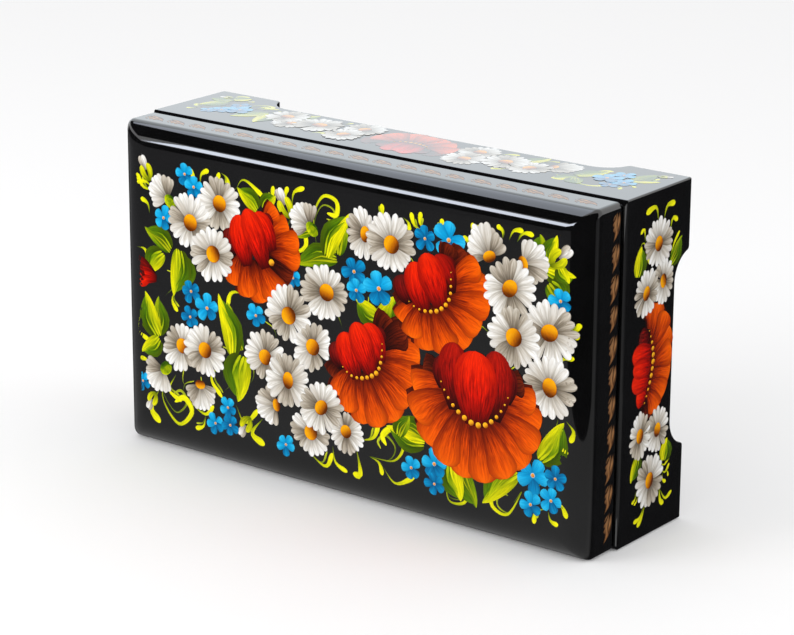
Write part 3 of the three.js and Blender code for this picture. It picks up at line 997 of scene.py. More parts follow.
def bud(art, calyx, tip):
    """White bud: two petals held by a green calyx."""
    calyx, tip = np.array(calyx), np.array(tip)
    way = tip - calyx
    aside = np.array([-way[1], way[0]]) * 0.12
    length = math.hypot(*way)
    for k, sign in enumerate((1, -1)):
        end = calyx + way * 0.86 + aside * sign * 0.5
        art.stroke([calyx + way * 0.3, end], length * 0.12, petal_outline, (WHITE_SHADED, WHITE_LIT)[k],
                   level=k, bend=0.08 * sign, edge=0.3)
    for k, sign in enumerate((1, -1)):
        end = calyx + way * 0.52 + aside * sign * 1.3
        art.stroke([calyx - way * 0.12, end], length * 0.13, broad_outline, CALYX, level=3 + k,
                   bend=0.15 * sign, edge=0.1)
    art.settle()


# The camera, fitted to the object's straight edges in the photograph

CAMERA_AZIMUTH = 37.370
CAMERA_ELEVATION = 17.370
CAMERA_ROLL = 0.295
CAMERA_PLACE = (0.7280, -0.9510, 0.4481)
CAMERA_LENS = 130.61


def camera_turn(azimuth, elevation, roll):
    turn = Matrix.Rotation(math.radians(azimuth), 3, "Z")
    turn = turn @ Matrix.Rotation(math.radians(90 - elevation), 3, "X")
    return turn @ Matrix.Rotation(math.radians(roll), 3, "Z")


# Where everything is painted. On the lid the two numbers are millimetres across from the middle
# and up from the table. Places in at() were set with an earlier fit of the camera. Many of them follow
# the printout of a separate program, within a millimetre: it put points that were read off the
# photograph by eye into millimetres. The camera above is a later fit, so at() carries these places
# over: each lands where this camera sees it as the earlier one did. Places without at() were set later,
# with this camera: nine daisies put into millimetres the same way, and the last poppy beside one.

EARLIER_CAMERA_AZIMUTH = 37.075
EARLIER_CAMERA_ELEVATION = 18.121
EARLIER_CAMERA_ROLL = -0.040
EARLIER_CAMERA_PLACE = (0.71456, -0.94310, 0.46056)
EARLIER_CAMERA_LENS = 130.764
EARLIER_LID_LEVEL = -32.9


def carried_over(axis, earlier_level, level):
    """Makes at(), for places on the plane across one axis. The plane lay at the earlier level when the
    places were set, and lies at the other one now."""
    earlier_turn = camera_turn(EARLIER_CAMERA_AZIMUTH, EARLIER_CAMERA_ELEVATION, EARLIER_CAMERA_ROLL)
    turn = camera_turn(CAMERA_AZIMUTH, CAMERA_ELEVATION, CAMERA_ROLL)
    earlier_place, present_place = Vector(EARLIER_CAMERA_PLACE) / MM, Vector(CAMERA_PLACE) / MM
    zoom = EARLIER_CAMERA_LENS / CAMERA_LENS

    def carry(pair):
        spot = list(pair)
        spot.insert(axis, earlier_level)
        seen = earlier_turn.transposed() @ (Vector(spot) - earlier_place)
        way = turn @ Vector((seen.x * zoom, seen.y * zoom, seen.z))
        spot = present_place + way * ((level - present_place[axis]) / way[axis])
        return tuple(spot[k] for k in range(3) if k != axis)

    def at(item):
        """Carries each pair of numbers in a nested list over, and leaves what stands behind it."""
        if isinstance(item, list):
            return [at(part) for part in item]
        if not isinstance(item, tuple):
            return item
        if all(isinstance(value, (int, float)) for value in item[:2]):
            return carry(item[:2]) + item[2:]
        return tuple(at(part) for part in item)
    return at


# Root, tip, half width, colour, and the hand to which the leaf bends
LID_LEAVES = [
    ((-48, 121), (-59, 129), 3.0, "light", -1), ((-45, 122), (-38, 129), 2.6, "light", 1),
    ((-5, 107), (-28, 101), 3.4, "dark", -1), ((-5, 109), (0, 125), 3.6, "dark", 1),
    ((-11, 107), (2, 128), 3.4, "yellow", 1), ((-98, 94), (-113, 102), 3.4, "dark", -1),
    ((-103, 92), (-113, 81), 3.6, "light", -1), ((-91, 92), (-89, 77), 3.4, "dark", 1),
    ((-93, 95), (-97, 73), 4.0, "light", 1), ((-107, 53), (-106, 71), 3.2, "dark", -1),
    ((-107, 52), (-114, 72), 3.8, "light", 1), ((-106, 51), (-117, 43), 3.2, "light", 1),
    ((-59, 55), (-66, 76), 3.6, "dark", 1), ((-63, 52), (-71, 79), 3.8, "yellow", -1),
    ((-58, 53), (-61, 31), 5.4, "light", -1), ((-37, 100), (-28, 95), 3.0, "dark", -1),
    ((-39, 98), (-37, 87), 3.2, "yellow", -1), ((17, 84), (5, 91), 3.6, "light", 1),
    ((17, 83), (26, 96), 3.8, "light", -1), ((41, 37), (25, 42), 3.0, "dark", -1),
    ((41, 34), (21, 38), 3.2, "yellow", 1), ((59, 29), (68, 12), 4.0, "dark", -1),
    ((54, 28), (60, 13), 4.2, "yellow", -1), ((88, 33), (71, 15), 4.4, "light", -1),
    ((100, 40), (111, 59), 4.2, "light", -1), ((99, 124), (98, 136), 3.2, "dark", 1),
    ((102, 124), (106, 137), 2.6, "yellow", 1), ((101, 121), (115, 121), 3.0, "yellow", -1),
    ((103, 117), (110, 109), 4.4, "dark", 1), ((107, 124), (112, 118), 2.4, "yellow", -1),
    ((-19, 117), (-27, 113), 2.2, "dark", -1), ((44, 100), (56, 104), 3.0, "dark", 1),
    ((60, 88), (70, 92), 2.8, "light", 1), ((-10, 50), (-3, 40), 3.0, "dark", -1),
    ((27, 35), (33, 45), 2.8, "dark", 1),
]

# Curls run from the thin root to the round head. A last number is the half width where it is wider.
LID_CURLS = [
    [(-106, 120), (-117, 126), 1.4], [(-107, 119), (-117, 122)], [(-110, 109), (-115, 115)],
    [(-80, 127), (-75, 134)], [(-77, 127), (-69, 134)], [(-60, 128), (-55, 133), (-44, 127)],
    [(-46, 124), (-39, 133)], [(-30, 126), (-31, 134)], [(-29, 126), (-22, 135)],
    [(-16, 112), (-17, 124), (-12, 133), (-5, 132), (-5, 126), (-10, 126)],
    [(-30, 120), (-33, 111), (-28, 106), (-22, 109), (-22, 114), (-26, 114)], [(15, 127), (19, 135)],
    [(41, 127), (34, 134)], [(42, 127), (39, 135)], [(45, 129), (50, 134)], [(62, 127), (65, 135)],
    [(64, 128), (70, 134)], [(65, 124), (60, 128)], [(80, 131), (77, 136)], [(83, 131), (90, 136)],
    [(87, 131), (95, 135)], [(108, 82), (115, 87)], [(109, 82), (114, 75)], [(108, 60), (113, 46)],
    [(112, 60), (114, 51)], [(103, 20), (97, 12)], [(104, 19), (109, 14)], [(105, 24), (113, 18)],
    [(87, 19), (91, 25), (84, 13), (76, 15), (77, 23), (82, 22)],
    [(52, 22), (54, 12), (62, 13), (63, 21), (58, 20)], [(-22, 17), (-12, 12), (-8, 19)],
    [(-8, 22), (0, 12)], [(5, 24), (7, 13), (3, 12), 1.6], [(12, 22), (19, 15)],
    [(19, 19), (26, 13), (36, 18)], [(12, 22), (25, 23), (30, 31), (24, 37), (19, 33), (21, 29), 1.5],
    [(6, 28), (14, 31), (17, 38), 1.3], [(-107, 27), (-112, 17), (-107, 11), 1.9],
    [(-103, 36), (-105, 23), (-96, 13), (-88, 20), (-92, 26), (-98, 23), 1.5],
    [(-97, 36), (-101, 28), (-94, 24)], [(-69, 48), (-76, 39), (-70, 31)],
    [(-88, 24), (-80, 21), (-75, 26)], [(-80, 20), (-86, 13)], [(-62, 29), (-57, 22), (-49, 30)],
    [(-47, 26), (-53, 18), (-46, 14), 1.8], [(-52, 82), (-63, 81), (-66, 74)], [(-96, 76), (-95, 66)],
    [(-117, 61), (-119, 53), (-112, 49)], [(-68, 134), (-64, 128)], [(-88, 134), (-84, 129)],
    [(30, 131), (33, 126)], [(84, 79), (90, 84)], [(-112, 36), (-118, 40)], [(112, 100), (116, 95)],
    [(112, 98), (117, 102)], [(-118, 92), (-111, 88)],
]

LID_BUDS = [((-110, 125), (-115, 136)), ((-31, 122), (-38, 134)), ((104, 125), (114, 134)),
            ((-110, 24), (-115, 15)), ((-55, 24), (-61, 14))]

# Across, up, radius, and whether it catches the light
LID_FORGET_ME_NOTS = [
    (-89, 130, 4.8, 1), (-84, 125, 5.0, 1), (-102, 108, 5.2, 1), (-87, 77, 5.0, 0), (-78, 71, 6.0, 1),
    (-88, 65, 4.6, 0), (-29, 94, 4.2, 1), (-50, 73, 5.0, 1), (4, 103, 6.0, 0), (17, 98, 7.3, 1),
    (5, 95, 5.2, 1), (41, 124, 5.0, 0), (53, 125.5, 7.3, 1), (108, 110, 5.2, 1), (-117, 29, 4.2, 1),
    (-67, 27, 4.6, 1), (-74.5, 18, 4.6, 1), (-66, 19, 4.6, 0), (-34, 17, 4.6, 1), (34, 22, 5.0, 1),
    (46, 26.5, 6.3, 1), (46, 17.5, 4.7, 0), (96, 33, 7.3, 1), (107, 34, 5.0, 0), (95, 20, 5.2, 1),
    (105, 24, 5.2, 1),
]


# The way in which upper layers of paint stand off the lid, and how far. Straight out would be
# (0, -1, 0): this one leans to the right, which is a known fault of the lid's painting.
LID_RAISING_WAY = (2.6, -0.3, 0)


def paint_lid(material):
    art = Painting(lid_surface, LID_RAISING_WAY, 11)
    at = carried_over(1, EARLIER_LID_LEVEL, lid_face_y)
    hairlines(art, at([(-100, 70, 50), (-70, 110, 20), (-20, 55, 60), (10, 75, 30), (60, 95, 40),
                       (85, 60, 60), (-60, 40, 30), (30, 112, 24), (75, 40, 50), (-90, 25, 24)]))
    strokes_of(art, at(LID_CURLS))
    for root, tip, width, kind, hand in at(LID_LEAVES):
        leaf(art, root, tip, width, kind, 0.14 * hand)
    for calyx, tip in at(LID_BUDS):
        bud(art, calyx, tip)
    for x, y, radius, lit in at(LID_FORGET_ME_NOTS):
        forget_me_not(art, x, y, radius, bool(lit))
    # Upper left group
    half_daisy(art, at((-99, 117)), 140, 10.5)
    daisy(art, at((-69.5, 120)), 11.7)
    daisy(art, at((-87, 109)), 12.0, eye=(0.5, -0.5))
    # Left middle: a bud of the red flower at the edge
    art.stroke(at([(-108, 80), (-121, 84)]), 5.4, broad_outline, RED_SIDE, rows=10, edge=0.5)
    art.stroke(at([(-107, 79), (-119, 75)]), 4.4, broad_outline, RED_FRONT, level=1, rows=10, edge=0.4,
               bend=-0.2)
    art.settle()
    # Top middle
    half_daisy(art, at((-19.5, 118.5)), 140, 10.5)
    daisy(art, (9.6, 121.1), 11.0, squash=0.72, lean=90, eye=(2.0, 0), shade=90, oval=(0.7, 90))
    daisy(art, at((23, 119.4)), 12.3, eye=(0.5, -1), shade=100)
    # Left poppy
    poppy(art, at([(-63, 100), (-56, 95.5), (-46, 95.5), (-40.5, 99), (-41, 107), (-43, 114)]),
          at([(0.05, (-65, 109), 6.0, RED_SIDE), (0.95, (-45, 119), 5.5, RED_SIDE),
              (0.25, (-60, 117), 7.2, RED_FRONT), (0.75, (-49, 120), 6.6, RED_FRONT),
              (0.5, (-55, 121), 7.0, RED_FRONT)]),
          at([(-64, 90), (-62, 84.5), (-54, 80.5), (-46, 79.5), (-38, 84), (-29, 95), (-25, 102),
              (-25.5, 110), (-31, 116), (-37.5, 123)]), ghosts=(0, 5), count=0)
    art.disc(at((-41, 98.7)), 1.5, BEAD, shade=-60)
    art.settle()
    daisy(art, at((-75, 96)), 12.0, eye=(1, 0.5))
    # Middle of the lid
    daisy(art, at((-12.5, 91)), 12.0, eye=(1.5, 0))
    daisy(art, at((-32, 77.6)), 12.3, eye=(0, -1))
    daisy(art, at((-19, 65)), 11.5, squash=0.8, lean=50)
    daisy(art, at((-45.5, 56)), 11.0, eye=(0, -1))
    half_daisy(art, (-37.8, 34.9), 190, 10.5, green=False, spread=190, count=12)
    daisy(art, at((-33, 47)), 12.0, oval=(0.75, 90))
    # Bottom middle
    daisy(art, (-18.9, 25.6), 11.0, squash=0.8, lean=150, eye=(0.3, 0.9))
    daisy(art, at((-1, 30)), 9.2, eye=(-0.5, 0.5))
    poppy(art, at([(-3, 59.5), (1.4, 56.5), (8, 56.7), (15, 60.5), (17.6, 67.4), (18, 74)]),
          at([(0.02, (-8, 69), 6.2, RED_SIDE), (0.98, (15, 80), 5.0, RED_SIDE),
              (0.25, (-3.5, 75), 7.2, RED_FRONT), (0.75, (10, 82), 7.0, RED_FRONT),
              (0.5, (3.5, 81.5), 7.4, RED_FRONT)]),
          at([(-9, 54), (-5, 46), (0, 39.5), (8, 36), (17, 36.5), (26, 41.5), (33, 50.5), (38, 61),
              (38, 72), (31, 81), (23, 86)]), ghosts=(0, 9, 10))
    daisy(art, at((-15, 38.5)), 12.0, squash=0.92, lean=45, oval=(0.8, 45))
    # Lower left
    half_daisy(art, at((-104, 37)), 222, 11.0)
    half_daisy(art, (-81.8, 35.1), 275, 10.5, green=False, spread=180, count=12)
    daisy(art, at((-94.6, 49.5)), 11.0, squash=0.86, lean=60, eye=(1.5, 1))
    daisy(art, at((-80, 50.7)), 11.5, eye=(0, 0.5))
    # Right
    half_daisy(art, (75.7, 122.9), 116, 12.0, green=False, spread=196, count=12)
    half_daisy(art, (92.3, 123), 20, 11.5, green=False, count=11)
    poppy(art, at([(32, 95.5), (36, 93.3), (42, 93), (48, 95), (52.8, 101), (53.4, 112)]),
          at([(0.02, (26, 105), 6.4, RED_SIDE), (0.97, (51, 118), 5.0, RED_SIDE),
              (0.25, (33.5, 113), 7.4, RED_FRONT), (0.75, (47, 119), 7.2, RED_BESIDE),
              (0.5, (40, 118.5), 8.0, RED_FRONT)]),
          at([(26, 93), (28, 86), (33.5, 80), (42, 76), (53, 77.5), (62.5, 82), (68.5, 90.5), (73, 100),
              (73, 109), (68, 117), (61, 122), (54, 123.5)]), ghosts=(0, 10, 11))
    daisy(art, (85.3, 111.3), 13.0, squash=0.93, lean=45, oval=(0.8, 45))
    daisy(art, (105.1, 96.3), 13.2, oval=(0.85, 20))
    daisy(art, (87.6, 91), 12.3)
    daisy(art, at((102, 72.6)), 12.8, eye=(0.5, 0), oval=(0.85, 100))
    poppy(art, [(50.9, 64.5), (53.7, 59.5), (58.7, 54.0), (66.0, 49.9), (73.2, 49.9), (78.9, 54.4),
                (82.6, 59.4), (85.0, 64.5)],
          [(0.06, (51, 75), 6.5, RED_SIDE), (0.94, (85, 77.5), 6.5, RED_SIDE),
           (0.27, (55.5, 83.5), 9.0, RED_BESIDE), (0.73, (80.5, 84), 9.0, RED_BESIDE),
           (0.5, (68.5, 81.5), 13.0, RED_FRONT)],
          at([(39, 68), (34, 58), (34, 46), (41, 35), (50, 27.5), (60, 24), (71, 24), (82, 28.5),
              (91, 35.5), (97, 45), (98.5, 55), (96, 64), (90, 71)]),
          ghosts=(0, 12), count=14, largest=1.35)
    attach(art.finish("lid_painting", material), "lid")


def hairlines(art, spots):
    """Fine dull grass blades that fill the gaps between the flowers."""
    for x, y, reach in spots:
        for _ in range(4):
            start = (x + art.random.uniform(-0.5, 0.5) * reach, y + art.random.uniform(-0.3, 0.3) * reach)
            end = (start[0] + art.random.uniform(-9, 9), start[1] + art.random.uniform(3, 11))
            if 14 < end[1] < 134:
                art.stroke([start, end], 0.32, comma_outline, CURL_DIM, rows=8,
                           bend=art.random.uniform(-0.3, 0.3),
                           edge=0, columns=5)
    art.settle()


# The long walls: across and towards the feet

def paint_long_side(name, surface, normal, seed, material):
    art = Painting(surface, normal, seed)
    at = carried_over(2, cad_high[2] / MM, cad_high[2] / MM)
    strokes_of(art, at([
        [(-89, 12.7), (-91.5, 18), (-86.5, 21.5), (-82, 20), (-84, 16)],
        [(-87, 13), (-86, 18.5), (-83, 18)], [(-83, 14), (-78, 19), 0.9], [(-79, 13), (-75, 17), 0.8],
        [(-42, -5), (-34.5, -1.5), 1.7], [(-40, 16), (-37, 20), 0.8], [(45, 13), (52.5, 18.5)],
        [(60, 0), (54, -5), 1.6], [(67, 15), (72, 19.5), 0.8], [(92, 2), (97, -3), (104, -2), (107, 3)],
        [(91, 12), (94, 19.5), (98, 20)], [(80, 4), (83, -3), 1.1], [(-109, 3), (-115, 6)],
        [(-110, 1), (-114, -2)], [(111, 3), (114, -1), 0.9], [(113, 6), (118, 5), 0.9],
        [(113, 17), (119, 22)], [(-106, 20), (-108, 27), (-103, 29)], [(-100, 22), (-96, 24), 0.9],
    ]))
    for root, tip, width, kind in at([
        ((-106, 17), (-113, 5), 3.4, "light"), ((-105, 18), (-116, 18), 3.0, "dark"),
        ((-106, 21), (-100, 27), 3.0, "yellow"), ((-77, 11), (-89, -2), 3.8, "light"),
        ((-76, 10), (-73, -5), 3.2, "yellow"), ((-62, 11), (-55.5, 20.5), 3.0, "light"),
        ((61, 11), (66, 22), 3.0, "yellow"), ((91, 4), (83, -3), 3.4, "yellow"),
        ((89, 6), (97, 19), 3.4, "light"), ((90, 3), (96, -4), 2.8, "dark"),
        ((110, 13), (122, 18), 3.2, "yellow"), ((110, 15), (116, 26), 3.0, "dark"),
    ]):
        leaf(art, root, tip, width, kind, art.random.choice([-0.12, 0.12]))
    bud(art, at((-109, 23.5)), at((-115.5, 21.5)))
    bud(art, at((117, 25)), at((123, 28)))
    for x, y, radius, lit in at([(-103, 0.5, 3.8, 1), (-98.8, 4, 5.0, 1), (-96, 14, 4.6, 0),
                                 (-91.5, 8.1, 6.0, 1), (107, 3, 4.2, 0), (110.5, 8.5, 5.0, 1),
                                 (104.5, 18, 4.8, 1), (101, 10.5, 6.0, 1)]):
        forget_me_not(art, x, y, radius, bool(lit))
    poppy(art, at([(-5, 3.5), (-1.6, 6.8), (4.5, 8.3), (11.5, 7.2), (16, 3.5)]),
          at([(0.02, (-7, -4), 4.6, RED_SIDE), (0.98, (18.5, -4), 4.6, RED_SIDE),
              (0.3, (0, -8.5), 5.8, RED_FRONT), (0.7, (11, -8.8), 5.8, RED_FRONT),
              (0.5, (5.5, -7), 5.0, RED_FRONT)]),
          at([(-17, 0), (-16, 8.5), (-12.5, 16.5), (-4, 21), (5.5, 21.3), (15, 20), (23, 14.5),
              (27.5, 6.5), (26, -2)]),
          ghosts=(0, 8), count=11, largest=1.0)
    daisy(art, at((-58.4, 3.6)), 8.8, squash=0.92, lean=20)
    daisy(art, at((-67, 11.5)), 9.6)
    daisy(art, at((-46.8, 8.1)), 11.0, eye=(0.5, 0))
    daisy(art, at((-25.5, 13.6)), 9.4)
    daisy(art, at((-28, 1.6)), 9.6, squash=0.92, lean=120)
    half_daisy(art, at((74, 12)), 15, 10.5, green=False)
    daisy(art, at((36, 13)), 9.4, squash=0.9, lean=30)
    daisy(art, at((36.5, 0.6)), 9.6)
    daisy(art, at((67, 4.4)), 9.4, squash=0.94, lean=60)
    daisy(art, at((53.5, 6.5)), 10.2)
    return art.finish(name, material)


# The short walls: towards the feet and up

def paint_short_side(name, surface, normal, seed, material):
    art = Painting(surface, normal, seed)
    at = carried_over(0, cad_high[0] / MM, cad_high[0] / MM)
    strokes_of(art, at([
        [(9, 136), (7, 143), (-0.5, 142), 1.5], [(13, 136), (15.5, 141.8), (21.5, 141.8), 1.4],
        [(18, 130), (19.8, 135.5), (23.8, 134), 1.2], [(-0.6, 130), (-1.5, 135.7), (-4.2, 134.3), 0.9],
        [(-6, 127), (-1.5, 130), (3.2, 120), 0.9], [(17.5, 116), (21, 124), (25.5, 129), 0.8],
        [(14, 32.5), (19, 29), (24, 33.5), 0.9], [(15.5, 28.5), (19.5, 25.5), (22.8, 28.5), 0.8],
        [(17.5, 26), (20.3, 21), 0.9], [(19.8, 26), (22, 23), 0.6],
        [(15, 21), (16.3, 14), (19, 11.8), 1.3], [(15.5, 19.5), (20, 13.8), (25.2, 15.5), 1.0],
        [(-3, 23.5), (-5.8, 19), 0.8], [(-1.8, 22), (-4, 18), 0.6],
        [(4.8, 16), (2, 10.5), (-1.2, 7.4), 1.3], [(4, 15.8), (0.5, 11), (-4.2, 10.2), 1.1],
    ]), twin=False)
    leaf(art, at((-5.5, 116.5)), at((-3, 129)), 3.3, "yellow", -0.1)
    leaf(art, at((19.2, 116)), at((27.5, 126.5)), 2.6, "dark", -0.1)
    leaf(art, at((-1.5, 39)), at((-7, 28.5)), 2.6, "light", 0.1)
    leaf(art, at((18.2, 31)), at((20.5, 40.5)), 3.4, "yellow", -0.08)
    poppy(art, at([(4.4, 91.5), (7, 84.5), (7.8, 78.5), (6.6, 71.5), (4.2, 65.5), (2, 61)]),
          at([(0.05, (-3, 92), 5.6, RED_SIDE), (0.95, (-4, 62.5), 5.6, RED_FRONT),
              (0.3, (-8.4, 84.5), 6.0, RED_FRONT), (0.7, (-8.4, 70), 6.0, RED_FRONT),
              (0.5, (-7.6, 77.5), 5.4, RED_FRONT)]),
          at([(4.5, 103), (11, 102), (17, 96.5), (20.8, 88.5), (22, 79), (21, 69.5), (17, 61),
              (11, 55.5), (4, 53.5)]),
          ghosts=(8,), count=12, largest=1.2)
    daisy(art, at((14, 110.4)), 9.6, squash=0.78, lean=90, oval=(0.75, 90))
    daisy(art, at((9.7, 127.6)), 10.2, eye=(0, -0.4), oval=(0.85, 90))
    daisy(art, at((1.2, 108.2)), 9.8, squash=0.88, lean=70, oval=(0.75, 75))
    daisy(art, at((12.4, 46.4)), 9.8, squash=0.85, lean=80, oval=(0.75, 80))
    daisy(art, at((-1, 47.4)), 10.0, squash=0.76, lean=90, oval=(0.8, 90))
    daisy(art, at((7.2, 25.6)), 11.2, squash=0.9, lean=80, oval=(0.8, 80))
    return art.finish(name, material)


# Rope ornament round the sides of the lid

ROPE_PITCH = 12.4 * MM
ROPE_Y_LONG = -21.9
ROPE_Y_SHORT = -17.6


def rope_motif(material):
    """One feather of the rope: brown strokes that start side by side and run out in one thin tail."""
    art = Painting(flat_surface(2, 0.0), (0, 0, 1), 5)
    art.stroke([(2.6, 1.0), (2.0, -4), (0.4, -8.6), (-2.9, -11.6)], 0.5, crescent_outline, ROPE_DARK,
               level=0, rows=14)
    for start in (0.4, -1.9, -4.2):
        art.stroke([(-0.3, start), (-2.2, start - 1.4), (-3.1, start - 2.9)], 0.62, comma_outline, ROPE,
                   level=1, rows=7)
    art.stroke([(1.7, 0.4), (1.0, -3.4), (-0.2, -6.6), (-1.5, -9)], 1.05, crescent_outline, ROPE, level=3,
               rows=12)
    art.stroke([(0.4, 0.9), (-1.0, -3.4), (-1.1, -6.6), (-1.0, -8.6), (-3.1, -11.8)], 1.35,
               crescent_outline, ROPE, level=4, rows=16)
    art.stroke([(0.9, 0.2), (0.2, -3.5), (-0.9, -7.5)], 0.28, crescent_outline, ROPE_DARK, level=5, rows=9)
    return art.finish("rope_motif", material)


def rope_path():
    """One straight line along the middle of each side of the lid, going round clockwise."""
    x0, x1, z0, z1 = lid_low[0], lid_high[0], lid_low[2], lid_high[2]
    lines = [((x0 + 5, z1), (x1 - 17, z1), (0, 0, 1)), ((x1, z1 - 4), (x1, z0 + 17), (1, 0, 0)),
             ((x1 - 5, z0), (x0 + 17, z0), (0, 0, -1)), ((x0, z0 + 5), (x0, z1 - 17), (-1, 0, 0))]
    points, edges, facing = [], [], []
    for start, end, way in lines:
        edges.append((len(points), len(points) + 1))
        for x, z in (start, end):
            points.append((x * MM, (ROPE_Y_SHORT if way[0] else ROPE_Y_LONG) * MM, z * MM))
            facing.extend(way)
    mesh = bpy.data.meshes.new("rope_path")
    mesh.from_pydata(points, edges, [])
    mesh.attributes.new("facing", "FLOAT_VECTOR", "POINT").data.foreach_set("vector", facing)
    return new_object("rope_path", mesh)


def rope_group():
    """Geometry nodes: feathers at even steps along a path, each facing outward, tail along the path."""
    tree = bpy.data.node_groups.new("rope_ornament", "GeometryNodeTree")
    face = tree.interface
    face.new_socket("Geometry", in_out="INPUT", socket_type="NodeSocketGeometry")
    face.new_socket("Motif", in_out="INPUT", socket_type="NodeSocketObject")
    face.new_socket("Pitch", in_out="INPUT", socket_type="NodeSocketFloat")
    face.new_socket("Seed", in_out="INPUT", socket_type="NodeSocketInt")
    face.new_socket("Paint", in_out="INPUT", socket_type="NodeSocketMaterial")
    face.new_socket("Geometry", in_out="OUTPUT", socket_type="NodeSocketGeometry")
    given = add(tree, "NodeGroupInput").outputs
    curve = add(tree, "GeometryNodeMeshToCurve", {"Mesh": given["Geometry"]})
    steps = add(tree, "GeometryNodeResampleCurve", {"Curve": curve.outputs[0], "Length": given["Pitch"]},
                mode="LENGTH")
    facing = add(tree, "GeometryNodeInputNamedAttribute", {"Name": "facing"}, data_type="FLOAT_VECTOR")
    along = add(tree, "GeometryNodeInputTangent")
    against = add(tree, "ShaderNodeVectorMath", {0: along.outputs["Tangent"], "Scale": -1.0},
                  operation="SCALE")
    outward = add(tree, "FunctionNodeAlignRotationToVector", {"Vector": facing.outputs["Attribute"]},
                  axis="Z")
    upright = add(tree, "FunctionNodeAlignRotationToVector", {
        "Rotation": outward.outputs["Rotation"], "Vector": against.outputs["Vector"]},
        axis="Y", pivot_axis="Z")
    tilt = add(tree, "FunctionNodeRandomValue", {
        0: (0, 0, -0.06), 1: (0, 0, 0.06), "Seed": given["Seed"]}, data_type="FLOAT_VECTOR")
    turn = add(tree, "FunctionNodeEulerToRotation", {"Euler": tilt.outputs[0]})
    placed = add(tree, "FunctionNodeRotateRotation", {
        "Rotation": upright.outputs["Rotation"], "Rotate By": turn.outputs["Rotation"]},
        rotation_space="LOCAL")
    size = add(tree, "FunctionNodeRandomValue", {2: 0.92, 3: 1.04, "Seed": given["Seed"]},
               data_type="FLOAT")
    motif = add(tree, "GeometryNodeObjectInfo", {"Object": given["Motif"]})
    many = add(tree, "GeometryNodeInstanceOnPoints", {
        "Points": steps.outputs["Curve"], "Instance": motif.outputs["Geometry"],
        "Rotation": placed.outputs["Rotation"], "Scale": size.outputs[1]})
    real = add(tree, "GeometryNodeRealizeInstances", {"Geometry": many.outputs["Instances"]})
    dressed = add(tree, "GeometryNodeSetMaterial", {
        "Geometry": real.outputs["Geometry"], "Material": given["Paint"]})
    add(tree, "NodeGroupOutput", {"Geometry": dressed.outputs["Geometry"]})
    return tree


def rope_ornament(material):
    """Runs the nodes once and keeps the result as a plain mesh that rides on the lid."""
    motif = rope_motif(material)
    path = rope_path()
    group = rope_group()
    modifier = path.modifiers.new("rope", "NODES")
    modifier.node_group = group
    sockets = {item.name: item.identifier for item in group.interface.items_tree if item.in_out == "INPUT"}
    modifier[sockets["Motif"]] = motif
    modifier[sockets["Pitch"]] = ROPE_PITCH
    modifier[sockets["Seed"]] = 7
    modifier[sockets["Paint"]] = material
    path.update_tag()
    graph = bpy.context.evaluated_depsgraph_get()
    mesh = bpy.data.meshes.new_from_object(path.evaluated_get(graph), depsgraph=graph)
    mesh.name = "rope_ornament"
    for item in (path, motif):
        bpy.data.objects.remove(item)
    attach(new_object("rope_ornament", mesh), "lid")


def paintings():
    paint_lid(brushed_paint("thinly_varnished_tempera", {
        "Roughness": 0.6, "Specular IOR Level": 0.0, "Coat Weight": 0.5}))
    paint = brushed_paint("varnished_tempera", {"Roughness": 0.08, "IOR": 1.5, "Coat Weight": 1.0})
    rope_ornament(brushed_paint("varnished_bronze_paint",
                                {"Metallic": 0.25, "Roughness": 0.38, "Coat Weight": 0.8}))
    x0, x1 = body_low[0], body_high[0]
    z0, z1 = body_low[2], body_high[2]
    for piece in (paint_long_side("upper_painting", flat_surface(2, z1), (0, 0, 1), 21, paint),
                  paint_long_side("lower_painting", flat_surface(2, z0), (0, 0, -1), 22, paint),
                  paint_short_side("right_painting", flat_surface(0, x1), (1, 0, 0), 23, paint),
                  paint_short_side("left_painting", flat_surface(0, x0), (-1, 0, 0), 24, paint)):
        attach(piece, "box")


# Studio: lengths are millimetres, except in camera() and lamp()

PAPER_WHITE = (0.93, 0.93, 0.935, 1)
SWEEP_REACH = 9000
CARD_REACH = 4000
CARD_BLACK = (0.024, 0.024, 0.026, 1)
CARD_BRIGHT_SPOT = (0.10, -0.05, 0.0)
CARD_BY_DISTANCE = [(0.0, "#909090"), (0.08, "#8A8A8A"), (0.27, "#848484"), (0.5, "#767677"),
                    (0.86, "#666668")]
STANDING_CARD = ((15, -275), (320, -80))
STANDING_CARD_HEIGHT = 420
BLACK_LEVEL = 0.012

# Name, azimuths, elevations, distance, level and colour of the curved cards
DOME_CARDS = [
    ("black_flag", (-100, 60), (20, 47), 1900, BLACK_LEVEL, "#FFFFFF"),
    ("bright_behind", (-176, -100), (2, 60), 1950, 1.26, "#F3FAFF"),
    ("softbox_front", (-44, -14), (10.8, 18.2), 1500, 9.2, "#EAF1FF"),
    ("dark_low_front", (-90, 60), (-3, 9), 2600, BLACK_LEVEL, "#FFFFFF"),
    ("bright_ceiling", (-126, -40), (47, 75), 1900, 2.4, "#EAF2FF"),
]


def level_square(reach, z):
    return [(-reach, -reach, z), (reach, -reach, z), (reach, reach, z), (-reach, reach, z)]


def camera():
    data = bpy.data.cameras.new("camera")
    data.lens = CAMERA_LENS
    data.sensor_width = 36.0
    data.clip_start = 0.05
    data.clip_end = 50.0
    item = new_object("camera", data)
    turn = camera_turn(CAMERA_AZIMUTH, CAMERA_ELEVATION, CAMERA_ROLL)
    item.matrix_world = Matrix.Translation(CAMERA_PLACE) @ turn.to_4x4()
    bpy.context.scene.camera = item


